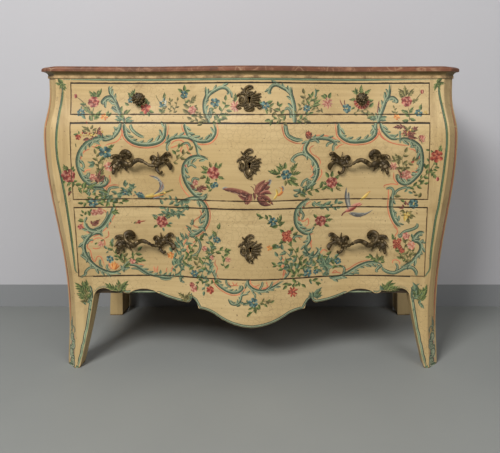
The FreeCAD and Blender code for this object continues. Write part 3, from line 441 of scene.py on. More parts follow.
def eased(rows, steps):
    """Rows of numbers drawn out into a smooth run through all of them."""
    run = []
    last = len(rows) - 1
    for i in range(last):
        four = rows[max(i - 1, 0)], rows[i], rows[i + 1], rows[min(i + 2, last)]
        for k in range(steps):
            t = k / steps
            run.append([0.5 * (2 * b + (c - a) * t + (2 * a - 5 * b + 4 * c - d) * t * t
                               + (3 * b - a - 3 * c + d) * t ** 3) for a, b, c, d in zip(*four)])
    return run + [list(rows[-1])]


def casting(shape, rows, node, origin, steps=4, sides=10, lobes=0, twist=0.0, fluted=1.0):
    """Stem, leaf or scroll cast in one run on a board. Rows: x, z, lift, half width and half
    thickness in millimetres; lobes scallop the width, twist turns the section as it goes and
    fluted draws every second corner of it in."""
    run = eased(rows, steps)
    places = []
    for i, (x, z, lift, wide, thick) in enumerate(run):
        x, z = origin[0] + x * MM, origin[1] + z * MM
        scallop = 1 + 0.3 * math.sin(2 * math.pi * lobes * i / (len(run) - 1))
        places.append((Vector((x, wood_y(node, x, z) - lift * MM, z)) / MM,
                       max(wide * scallop, 0.3), max(thick, 0.3)))
    before, earlier = set(shape.faces), set(shape.verts)
    ring = bmesh.ops.create_circle(shape, cap_ends=True, segments=sides, radius=1)["verts"]
    bmesh.ops.scale(shape, vec=(fluted, fluted, 1), verts=ring[::2])
    cap = [face for face in shape.faces if face not in before][0]
    held = Matrix.Identity(4)
    for i, (centre, wide, thick) in enumerate(places):
        ahead = (places[min(i + 1, len(places) - 1)][0] - places[max(i - 1, 0)][0]).normalized()
        across = ahead.cross(FORWARD).normalized()
        turn = Matrix((across, across.cross(ahead), ahead)).transposed().to_4x4()
        wanted = (Matrix.Translation(centre) @ turn @ Matrix.Rotation(twist * i, 4, "Z")
                  @ Matrix.Diagonal((wide, thick, 1, 1)))
        if i:
            grown = bmesh.ops.extrude_face_region(shape, geom=[cap])["geom"]
            cap = [piece for piece in grown if isinstance(piece, bmesh.types.BMFace)][0]
        bmesh.ops.transform(shape, matrix=wanted @ held.inverted(), verts=list(cap.verts))
        held = wanted
    bmesh.ops.scale(shape, vec=(MM, MM, MM), verts=[v for v in shape.verts if v not in earlier])


def cast_piece(name, shape, node, body):
    """Bronze piece that stands for a CAD node and moves with its body."""
    bmesh.ops.recalc_face_normals(shape, faces=list(shape.faces))
    for face in shape.faces:
        face.smooth = True
    made = mesh_object(f"{name}_cast", shape, bronze)
    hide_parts(node)
    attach(made, body)


def cast_pair(name, shape, nodes_right_left, body):
    """Right piece and its left twin, each standing for its CAD node."""
    twin = shape.copy()
    bmesh.ops.scale(twin, vec=(-1, 1, 1), verts=list(twin.verts))
    cast_piece(f"{name}_right", shape, nodes_right_left.format("right"), body)
    cast_piece(f"{name}_left", twin, nodes_right_left.format("left"), body)


# rows of the right handle, from the middle of its place on the front
HANDLE_BAR = [(38, 3, 8, 5, 4.6), (31, -2, 14, 6.2, 4.8), (22, -3, 20, 6.6, 4.8), (11, 5, 24, 6.2, 4.4),
              (-3, 11, 26, 5.4, 4), (-16, 7, 25, 5, 3.8), (-29, -2, 21, 5.2, 4),
              (-42, -6, 15, 5.6, 4.4), (-53, -5, 7, 6, 4.6)]
OUTER_LEAVES = [
    # rows, scallops: the curled loop, the upper leaf, the lower leaf's middle and its four lobes
    ([(27, -2, 11, 4.4, 4), (37, 1, 11, 4.6, 4.2), (45, 8, 10, 5, 4.4), (48, 17, 9, 5.4, 4.6),
      (46, 27, 9, 5.8, 4.8), (38, 33, 9, 6, 5), (29, 31, 9, 5.8, 4.8), (24, 23, 9, 5.4, 4.6),
      (27, 17, 9, 5, 4.4), (32, 17, 10, 3, 3)], 0),
    ([(46, 14, 10, 3, 3), (42, 22, 12, 3, 3), (36, 24, 13, 2.6, 2.6), (33, 21, 13, 2, 2)], 0),
    ([(46, 10, 6, 5, 3.4), (54, 18, 7, 5.6, 3.6), (63, 22, 8, 5.4, 3.6), (71, 19, 9, 4.4, 3.2),
      (75, 13, 10, 2, 2)], 1.5),
    ([(45, 6, 7, 5, 4), (54, 4, 8, 6.5, 4.2), (61, -3, 8, 7.5, 4), (67, -13, 8, 7, 3.8),
      (70, -23, 9, 4.6, 3.2), (70, -31, 10, 1.6, 1.6)], 2.5),
    ([(56, 4, 6, 4, 3.4), (66, 4, 7, 4.8, 3.4), (74, -2, 8, 4, 3), (78, -9, 9, 1.8, 1.8)], 1.0),
    ([(50, 3, 6, 4, 3.4), (54, -6, 7, 5, 3.6), (56, -15, 7, 3.8, 3), (55, -22, 8, 1.6, 1.6)], 1.0),
    ([(46, 4, 6, 4, 3.4), (43, -5, 6, 4.8, 3.4), (38, -14, 7, 4, 3), (33, -21, 8, 1.8, 1.8)], 1.0),
    ([(44, 8, 9, 5, 4.6), (51, 8, 11, 5, 4.6), (56, 6, 9, 3, 3)], 0),
]
INNER_LEAVES = [
    ([(-49, -3, 7, 5, 4.2), (-58, 2, 8, 5.2, 4), (-69, 5, 8, 5, 3.8), (-80, 2, 8, 5.4, 3.8),
      (-88, -7, 9, 5.2, 3.4), (-88, -18, 10, 2, 1.8)], 1.5),
    ([(-54, 2, 6, 4.6, 3.4), (-62, 10, 7, 5.6, 3.6), (-69, 20, 7, 5.8, 3.6), (-77, 28, 8, 5, 3.2),
      (-86, 27, 9, 3.4, 2.6), (-87, 21, 10, 1.6, 1.6)], 1.5),
    ([(-60, 6, 6, 4, 3.2), (-70, 12, 7, 4.6, 3.2), (-79, 14, 8, 3.6, 2.8),
      (-85, 10, 9, 1.6, 1.6)], 1.0),
    ([(-52, 2, 7, 3.6, 3), (-54, 12, 8, 4, 3.2), (-54, 22, 8, 3, 2.6), (-53, 32, 9, 1.2, 1.2)], 1.0),
    ([(-44, -4, 9, 3.6, 3.4), (-48, 6, 10, 3.6, 3.4), (-46, 16, 10, 3.8, 3.4), (-39, 20, 10, 3.8, 3.4),
      (-34, 14, 10, 3.4, 3.2), (-37, 8, 10, 2.4, 2.4)], 0),
    ([(-46, 12, 8, 3, 2.6), (-40, 4, 9, 3.4, 2.6), (-36, -2, 9, 1.4, 1.4)], 0.5),
    ([(-48, -5, 7, 4.4, 3.8), (-49, -14, 7, 4.2, 3.6), (-52, -22, 8, 3.8, 3.2), (-59, -27, 8, 3.4, 2.8),
      (-64, -24, 9, 2.6, 2.4), (-62, -20, 10, 1.4, 1.4)], 0),
    ([(-45, 0, 9, 5, 4.6), (-53, 0, 11, 5.4, 4.6), (-60, 3, 9, 3, 3)], 0),
]
HANDLE_X = 0.307
for drawer, height in (("middle", 0.593), ("bottom", 0.364)):
    wood, middle = f"{drawer}_drawer_front", (HANDLE_X, height)
    shape = bmesh.new()
    casting(shape, [(*row[:3], 1.12 * row[3], 1.12 * row[4]) for row in HANDLE_BAR[:6]], wood, middle,
            steps=6, sides=14)
    casting(shape, HANDLE_BAR[4:], wood, middle, steps=8, sides=8, twist=0.30, fluted=0.78)
    for rows, lobes in OUTER_LEAVES + INNER_LEAVES:
        casting(shape, [(x, z, lift, 1.1 * wide, 1.1 * thick) for x, z, lift, wide, thick in rows],
                wood, middle, lobes=lobes, sides=16, fluted=0.84 if lobes else 1.0)
    cast_pair(f"{drawer}_handle", shape, f"{drawer}_drawer_{{}}_handle", f"{drawer}_drawer")

# ---------------------------------------------------------------------------------------------
# Escutcheons: openwork bronze cartouches of C-scrolls round each key hole, cast flat and bent to
# the front, held by four round-headed brass pins. The top drawer's is lower and broader.
SHIELD_RIM = [(0, 13), (8, 13), (16, 14), (25, 14), (28, 7), (27, -2), (25, -13), (18, -21), (9, -29),
              (0, -36)]
KEY_RIM = [(0, 5), (2.2, 4.4), (3.9, 2.6), (4.5, 0.5), (4, -2.2), (2.9, -3.8), (2.6, -7), (2.6, -10.5),
           (2.4, -12.6), (0, -13)]
# rows of the castings on the shield: the spiral on the left, the shell's ribs on the right, the
# collar of the key hole, the pointed foot and the leafy crest that curls over to the right
SHIELD_SCROLLS = [
    [(-33, 4, 3.5, 1, 1), (-30, 11, 4.5, 2.6, 2.2), (-20, 15, 4.5, 3, 2.6), (-10, 9, 5, 3, 2.6),
     (-8.5, -4, 5, 2.8, 2.4), (-11, -14, 5, 2.8, 2.4), (-18, -18, 4.5, 3, 2.4), (-25, -13, 4.5, 3, 2.4),
     (-26, -3, 4.5, 2.6, 2.2), (-21, 2.5, 4.5, 2.2, 2), (-16, -1, 5, 2.2, 2), (-18, -7, 5, 2, 2)],
    [(-2, 9, 4.5, 2, 2), (6, 13, 5, 2.6, 2.2), (14, 18, 4.5, 2.4, 2), (18, 24, 3.5, 0.9, 1)],
    [(6, 4, 4.5, 1.6, 1.8), (16, 9, 5, 2.8, 2.4), (26, 13, 4.5, 2.8, 2.2), (32, 15, 3.5, 0.9, 1)],
    [(7, 0, 4.5, 1.6, 1.8), (17, 2, 5, 2.8, 2.4), (27, 5, 4.5, 2.6, 2.2), (33, 5, 3.5, 0.9, 1)],
    [(7, -5, 4.5, 1.6, 1.8), (16, -5, 5, 2.7, 2.4), (25, -5, 4.5, 2.4, 2.2), (30, -6, 3.5, 0.9, 1)],
    [(6, -10, 4.5, 1.6, 1.8), (14, -12, 5, 2.7, 2.4), (22, -14, 4.5, 2.8, 2.2), (28, -17, 3.5, 0.9, 1)],
    [(4, -15, 4.5, 1.6, 1.8), (10, -19, 5, 2.4, 2.2), (16, -24, 4.5, 2.2, 2), (19, -29, 3.5, 0.9, 1)],
    [(6, 6, 5, 1.2, 1.2), (6.4, -2, 5.5, 1.7, 1.6), (5, -10, 5.5, 1.5, 1.5), (3, -16, 5, 1, 1)],
    [(-6, 6, 5, 1.2, 1.2), (-6.4, -2, 5.5, 1.7, 1.6), (-5, -10, 5.5, 1.5, 1.5), (-3, -16, 5, 1, 1)],
    [(-14, -17, 4, 2.4, 2), (-12, -26, 4.5, 3, 2.4), (-7, -35, 4.5, 2.6, 2.2), (-2, -41, 3.5, 0.9, 1)],
    [(10, -18, 4.5, 2, 2), (7, -27, 5, 2.6, 2.2), (0, -33, 4.5, 2.4, 2), (-4, -37, 4, 1.2, 1.2)],
    [(-3, -18, 4.5, 1.6, 1.8), (-2, -27, 5, 2.4, 2.2), (4, -34, 4.5, 2.6, 2.2), (6, -40, 4, 2, 1.8),
     (1, -42, 3.5, 0.9, 1)],
    [(-7, 11, 4, 2.6, 2.2), (-13, 19, 4.5, 3.2, 2.4), (-12, 29, 4.5, 3.4, 2.6), (-5, 37, 4.5, 3.4, 2.6),
     (3, 40, 4.5, 3, 2.4), (9, 36, 4.5, 2.6, 2.2), (6, 31, 4.5, 2, 2)],
    [(-3, 12, 4, 2.2, 2), (-6, 21, 5, 2.8, 2.4), (-2, 29, 5, 2.6, 2.2), (5, 31, 4, 1.6, 1.6)],
    [(-5, 15, 4, 2.2, 2), (3, 20, 4.5, 2.6, 2.2), (10, 21, 3.5, 0.9, 1)],
    [(-11, 16, 4, 2, 2), (-18, 20, 4.5, 2.4, 2), (-23, 19, 3.5, 0.9, 1)],
    [(-13, 24, 4, 2, 2), (-19, 30, 4.5, 2.4, 2), (-22, 35, 3.5, 0.9, 1)],
]
FOOT_SCROLLS = [
    [(3, -18, 4, 2.4, 2.2), (14, -24, 4.5, 3, 2.6), (26, -22, 4.5, 3.2, 2.8), (33, -28, 4.5, 2.8, 2.4),
     (28, -34, 4.5, 2.4, 2.2), (22, -30, 4.5, 2, 2)],
    [(2, -26, 4, 2.2, 2), (12, -32, 4.5, 2.8, 2.4), (8, -40, 4.5, 2.4, 2), (0, -42, 4, 1.6, 1.6)],
]
PLATE_THICKNESS = 2.6


def key_plate(shape, wood, origin, squeeze):
    """Pierced plate between the rim of the shield and the key hole, closed all round."""
    loops = []
    for rim_points, tall in ((SHIELD_RIM, squeeze), (KEY_RIM, 1)):
        right = eased(rim_points, 2)
        closed = right + [[-x, z] for x, z in reversed(right[1:-1])]
        circle = bmesh.ops.create_circle(shape, segments=len(closed), radius=1)["verts"]
        for vert, (x, z) in zip(circle, closed):
            vert.co = (x * MM, 0, z * MM * tall)
        loops += list({edge for vert in circle for edge in vert.link_edges})
    faces = bmesh.ops.bridge_loops(shape, edges=loops)["faces"]
    grown = bmesh.ops.extrude_face_region(shape, geom=faces)["geom"]
    raised = {piece for piece in grown if isinstance(piece, bmesh.types.BMVert)}
    for vert in {vert for face in faces for vert in face.verts} | raised:
        x, z = origin[0] + vert.co.x, origin[1] + vert.co.z
        vert.co = (x, wood_y(wood, x, z) - (PLATE_THICKNESS * MM if vert in raised else 0), z)


for drawer, key_height, squeeze in (("top", 0.772, 0.82), ("middle", 0.595, 1), ("bottom", 0.357, 1)):
    wood, key = f"{drawer}_drawer_front", (0.0, key_height)
    shape = bmesh.new()
    key_plate(shape, wood, key, squeeze)
    runs = list(SHIELD_SCROLLS)
    if drawer == "top":
        runs += FOOT_SCROLLS + [[(-x, *rest) for x, *rest in rows] for rows in FOOT_SCROLLS]
    for rows in runs:
        casting(shape, [(x, z * squeeze, 0.62 * lift, *rest) for x, z, lift, *rest in rows],
                wood, key, sides=8)
    cast_piece(f"{drawer}_escutcheon", shape, f"{drawer}_drawer_escutcheon", f"{drawer}_drawer")
    dress(bronze, f"{drawer}_drawer_pins")

# ---------------------------------------------------------------------------------------------
# Knobs of the top drawer: turned bronze with two rows of chased petals on the face and a petalled
# rose against the wood, each bolted through the front.
KNOB_PROFILE = [(6.5, -1), (6.2, 4), (6.6, 9), (9, 13), (14, 16), (15, 18), (13.4, 19.2), (10, 18.4),
                (8.4, 20.2), (4, 21.4), (2.8, 22.6), (0, 23.2)]
# number of petals in a ring, their foot and tip from the axis, their lift and their width
PETALS = [(11, 7, 15, 2, 4.2), (11, 11.6, 15.4, 19.2, 3.4), (6, 3.4, 7.6, 21, 3)]
wood = "top_drawer_front"
knob_x, knob_z = 0.308, 0.771
base_y = wood_y(wood, knob_x, knob_z)
shape = bmesh.new()
line = [shape.verts.new((knob_x + r * MM, base_y - rise * MM, knob_z)) for r, rise in KNOB_PROFILE]
edges = [shape.edges.new(pair) for pair in zip(line, line[1:])]
bmesh.ops.spin(shape, geom=line + edges, cent=(knob_x, 0, knob_z), axis=FORWARD,
               angle=2 * math.pi, steps=32, use_merge=True)
bmesh.ops.remove_doubles(shape, verts=list(shape.verts), dist=1e-6)
for count, near, far, lift, wide in PETALS:
    for i in range(count):
        turn = 2 * math.pi * (i + 0.5 * (count % 2)) / count
        rows = [(r * math.cos(turn), r * math.sin(turn), lift + rise, share * wide, 1.5)
                for r, rise, share in ((near, -0.4, 0.5), ((near + far) / 2, 0.6, 0.95), (far, 0, 0.9),
                                       (far + 1, -1.6, 0.5))]
        casting(shape, rows, wood, (knob_x, knob_z), steps=3)
cast_pair("top_knob", shape, "top_drawer_{}_knob", "top_drawer")

# ---------------------------------------------------------------------------------------------
# Painted ornament: tempera laid on the cream ground with small brushes, then waxed. The strokes
# are drawn flat on the plane of the front, in millimetres, and laid on the boards afterwards.
PIGMENTS = {
    # shaded side, body and lit side of a stroke
    "teal": ((0.020, 0.042, 0.024), (0.105, 0.170, 0.096), (0.24, 0.31, 0.18)),
    "leaf": ((0.022, 0.040, 0.010), (0.085, 0.125, 0.034), (0.26, 0.30, 0.10)),
    "olive": ((0.040, 0.036, 0.010), (0.135, 0.120, 0.036), (0.33, 0.28, 0.11)),
    "coral": ((0.48, 0.125, 0.055), (0.62, 0.180, 0.082), (0.70, 0.29, 0.15)),
    "rose": ((0.115, 0.013, 0.014), (0.310, 0.060, 0.044), (0.61, 0.28, 0.19)),
    "pink": ((0.30, 0.070, 0.050), (0.51, 0.185, 0.125), (0.69, 0.41, 0.28)),
    "red": ((0.145, 0.014, 0.010), (0.36, 0.052, 0.028), (0.60, 0.20, 0.10)),
    "blue": ((0.012, 0.034, 0.036), (0.047, 0.118, 0.114), (0.20, 0.31, 0.26)),
    "orange": ((0.42, 0.090, 0.016), (0.64, 0.230, 0.050), (0.76, 0.42, 0.14)),
    "yellow": ((0.34, 0.190, 0.024), (0.58, 0.380, 0.070), (0.74, 0.58, 0.22)),
    "brown": ((0.045, 0.012, 0.010), (0.170, 0.050, 0.034), (0.36, 0.15, 0.09)),
    "brownlight": ((0.22, 0.100, 0.055), (0.42, 0.230, 0.130), (0.60, 0.42, 0.28)),
    "rosy": ((0.27, 0.058, 0.044), (0.46, 0.150, 0.104), (0.65, 0.35, 0.24)),
    "bluegrey": ((0.060, 0.060, 0.058), (0.175, 0.170, 0.155), (0.40, 0.38, 0.31)),
    "salmon": ((0.55, 0.160, 0.090), (0.68, 0.300, 0.190), (0.76, 0.48, 0.34)),
    "dusk": ((0.016, 0.030, 0.026), (0.030, 0.054, 0.044), (0.055, 0.085, 0.066)),
    "foam": ((0.18, 0.23, 0.14), (0.32, 0.37, 0.23), (0.50, 0.52, 0.34)),
    "white": ((0.30, 0.32, 0.26), (0.58, 0.56, 0.42), (0.76, 0.72, 0.56)),
}
brush_paint, tree, surface, place = blank_material("brush_paint")
patch = noise(tree, place, 34.0, 5.0, 0.6)
rub = noise(tree, place, 310.0, 6.0, 0.7)
hair = masked(tree, grain, place, Across=(160.0, 160.0, 1100.0), Contrast=0.6)
lines = masked(tree, crackle, place, Scale=120.0, Width=0.018, Amount=0.5)
laid = mixed(tree, 1.0, add(tree, "Attribute", attribute_name="pigment").outputs["Color"],
             ranged(tree, patch, 0.3, 0.72, 0.78, 1.18), "MULTIPLY")
laid = tinted(tree, laid, (0.55, 0.42, 0.24), rub, 0.56, 0.70, 0.62)
laid = tinted(tree, laid, (0.10, 0.08, 0.04), hair, 0.3, 0.9, 0.20)
laid = mixed(tree, lines, laid, (0.10, 0.07, 0.035))
fill(tree, surface, {"Base Color": laid, "Roughness": ranged(tree, patch, 0.3, 0.7, 0.42, 0.62)})
embossed(tree, surface, rub, 0.25, 0.0003)
SHEETS, SHEET_WIDTH = 12, 100


def fresh_design():
    """Empty design on sheets side by side, so that a stroke is quickly drawn; every point has its
    pigment and the lift of its paint off the board."""
    sheets = []
    for _ in range(SHEETS):
        sheets.append(bmesh.new())
        sheets[-1].verts.layers.float_color.new("pigment")
        sheets[-1].verts.layers.float.new("lift")
    return sheets


def blunt(t):
    """Outline of a ribbon: full nearly all along."""
    return min(1.0, 0.25 + 7 * t, 0.12 + 4.5 * (1 - t))


def pointed(t):
    """Outline of a leaf: widest before the middle, sharp at the tip."""
    return max(math.sin(math.pi * t ** 0.8), 0.06)


def rounded(t):
    """Outline of a petal: narrow at the heart, round at the rim."""
    return max(math.sin(math.pi * min(t, 0.97) ** 1.7) ** 0.6, 0.15)


def stroke(design, name, points, half, lift, outline=blunt, flip=False, steps=4):
    """One pull of the brush along points, shaded from one side to the other."""
    sheet = int(points[0][0] + SHEETS * SHEET_WIDTH / 2) // SHEET_WIDTH
    shape = design[min(max(sheet, 0), SHEETS - 1)]
    pigment, thickness = shape.verts.layers.float_color["pigment"], shape.verts.layers.float["lift"]
    run = eased(points, steps)
    last = len(run) - 1
    strength = random.uniform(0.84, 1.14)
    lift += random.uniform(0, 0.05)
    for vert in bmesh.ops.create_grid(shape, x_segments=last, y_segments=2, size=1)["verts"]:
        t, side = (vert.co.x + 1) / 2, round(vert.co.y)
        i = round(t * last)
        (ax, az), (bx, bz) = run[max(i - 1, 0)], run[min(i + 1, last)]
        wide = side * half * outline(t) / (math.hypot(bx - ax, bz - az) or 1.0)
        vert.co = ((run[i][0] - wide * (bz - az)) * MM, 0, (run[i][1] + wide * (bx - ax)) * MM)
        tint = PIGMENTS[name][1 + (-side if flip else side)]
        vert[pigment] = (*(channel * strength for channel in tint), 1)
        vert[thickness] = lift * MM


def beside(points, away):
    """Line that keeps a distance from another one."""
    run = []
    for i, (x, z) in enumerate(points):
        (ax, az), (bx, bz) = points[max(i - 1, 0)], points[min(i + 1, len(points) - 1)]
        length = math.hypot(bx - ax, bz - az) or 1.0
        run.append((x - away * (bz - az) / length, z + away * (bx - ax) / length))
    return run


def off(x, z, reach, turn):
    """Point at some distance from another, in a direction."""
    return x + reach * math.cos(turn), z + reach * math.sin(turn)


FEATHERED_FROM = 19


def leaf(design, name, x, z, far_x, far_z, slim=0.27):
    """Pointed leaf with a bent midrib; a long one is feathered with six pointed lobes."""
    dx, dz = far_x - x, far_z - z
    length = math.hypot(dx, dz)
    feathered = length > FEATHERED_FROM
    bend = random.uniform(-0.12, 0.12)
    points = [(x, z), (x + dx / 2 - bend * dz, z + dz / 2 + bend * dx), (far_x, far_z)]
    stroke(design, name, points, slim * (0.5 if feathered else 1) * length, 0.30, pointed,
           random.random() < 0.5, 3)
    if feathered:
        for share, lean, reach in ((0.10, 0.80, 0.36), (0.30, 0.62, 0.36), (0.52, 0.48, 0.30)):
            for side in (-1, 1):
                turn = math.atan2(dz, dx) + side * (lean + random.uniform(-0.12, 0.12))
                foot = x + share * dx, z + share * dz
                tip = off(*foot, reach * length * random.uniform(0.85, 1.15), turn)
                leaf(design, name, *foot, *tip, 0.22)


def scroll(design, width, outlined, leafed, points):
    """Ribbon of a rocaille scroll with its curled leaflets, its lights and its thin coral outline."""
    width *= 1.16
    lit = 1 if leafed > 0 else -1
    stroke(design, "teal", points, width, 0.20, flip=leafed < 0)
    stroke(design, "foam", beside(points, 0.34 * width * lit), 0.24 * width, 0.27)
    stroke(design, "dusk", beside(points, -0.80 * width * lit), 0.17 * width, 0.27)
    if outlined:
        stroke(design, "coral", beside(points, outlined * (width + 3.4)), 1.7, 0.14)
    run = eased(points, 4)
    gone = 0.0
    for (ax, az), (bx, bz) in zip(run, run[1:]):
        step = math.hypot(bx - ax, bz - az)
        gone += step
        if not leafed or gone < 3.1 * width:
            continue
        gone = random.uniform(-0.8, 0.4) * width
        size = width * random.uniform(0.75, 1.15)
        dx, dz = (bx - ax) / step * size, (bz - az) / step * size
        out_x, out_z = -leafed * dz, leafed * dx
        rows = [(ax + out * out_x + on * dx, az + out * out_z + on * dz)
                for out, on in ((0.1, -0.9), (1.2, 0.1), (1.9, 1.5), (2.7, 1.9))]
        stroke(design, "teal", rows, 0.62 * size, 0.24, pointed, leafed < 0, 2)
        stroke(design, "dusk", beside(rows[1:], -0.42 * size * lit), 0.16 * size, 0.30, pointed,
               steps=2)
        stroke(design, "foam", rows[:3], 0.20 * size, 0.30, pointed, steps=2)


def sprig(design, name, size, points):
    """Thin stem with leaves by turns on both sides and one at the tip."""
    size *= 1.22
    stroke(design, name, points, 0.9, 0.22)
    run = eased(points, 6)
    gone, side = 0.3 * size, 1
    for (ax, az), (bx, bz) in zip(run, run[1:]):
        gone += math.hypot(bx - ax, bz - az)
        if gone < 0.55 * size:
            continue
        gone, side = 0.0, -side
        turn = math.atan2(bz - az, bx - ax) + side * random.uniform(0.6, 1.1)
        leaf(design, name, ax, az, *off(ax, az, size * random.uniform(0.75, 1.15), turn))
    (ax, az), (bx, bz) = run[-2:]
    leaf(design, name, bx, bz, *off(bx, bz, size, math.atan2(bz - az, bx - ax)))


# petals' colour, rings of petals (number, reach, width, inner end) and the heart's colour
BLOOMS = {
    "rose": ("rose", ((8, 1.0, 0.34, 0.3), (6, 0.66, 0.28, 0.1), (4, 0.36, 0.2, 0.0)), "red"),
    "red": ("red", ((6, 1.0, 0.36, 0.2), (5, 0.6, 0.26, 0.05)), "rose"),
    "pink": ("pink", ((6, 1.0, 0.38, 0.15), (5, 0.55, 0.26, 0.05)), "rose"),
    "pinkstar": ("pink", ((9, 1.0, 0.17, 0.1), (6, 0.6, 0.15, 0.05)), "red"),
    "redstar": ("red", ((8, 1.0, 0.2, 0.1), (6, 0.6, 0.2, 0.05)), "brown"),
    "pinkwhite": ("pink", ((6, 1.0, 0.4, 0.35), (5, 0.55, 0.26, 0.1)), "white"),
    "salmon": ("salmon", ((7, 1.0, 0.36, 0.1), (4, 0.5, 0.26, 0.0)), "coral"),
    "blue": ("blue", ((6, 1.0, 0.36, 0.15), (5, 0.6, 0.22, 0.1)), "yellow"),
    "orange": ("orange", ((5, 1.0, 0.36, 0.1),), "yellow"),
    "yellow": ("yellow", ((5, 1.0, 0.32, 0.1),), "orange"),
}


def flower(design, kind, radius, x, z):
    """Flower seen from the front, petal by petal, with its heart; clusters, buds and seed heads."""
    if kind == "redcluster":
        for i in range(5):
            flower(design, "red", 0.45 * radius, *off(x, z, 0.6 * radius * (i > 0), 1.3 * i))
    elif kind == "redlow":
        for i in range(9):
            turn = math.pi * (1.02 + 0.96 * i / 8)
            stroke(design, "red" if i % 2 else "rose",
                   [off(x, z, reach * radius, turn) for reach in (0.55, 0.85, 1.12)],
                   0.2 * radius, 0.36, rounded)
    elif kind == "bud":
        for lean in (-0.4, 0.0, 0.4):
            leaf(design, "rose", x, z - radius, x + lean * radius, z + radius, 0.3)
    elif kind == "brown":
        for i in range(26):
            turn, reach = random.uniform(0, 6.3), radius * random.uniform(0.1, 1)
            a, b = x + 1.2 * reach * math.cos(turn), z + 0.7 * reach * math.sin(turn)
            leaf(design, random.choice(("brown", "brown", "olive", "yellow", "red")), a, b,
                 a + random.uniform(-7, 7), b + random.uniform(-5, 7), 0.32)
    else:
        name, rings, heart = BLOOMS[kind]
        lift = 0.34
        for count, reach, wide, near in rings:
            first = random.uniform(0, 6.3)
            for i in range(count):
                turn = first + 2 * math.pi * i / count + random.uniform(-0.12, 0.12)
                far = reach * random.uniform(0.88, 1.1)
                petal = [off(x, z, radius * share, turn) for share in (near, (near + far) / 2, far)]
                stroke(design, name, petal, wide * radius, lift, rounded, i % 2 == 0, 3)
            lift += 0.06
        middle = [(x + side * 0.16 * radius, z) for side in (-1, 0, 1)]
        stroke(design, heart, middle, 0.15 * radius, lift, rounded, steps=2)


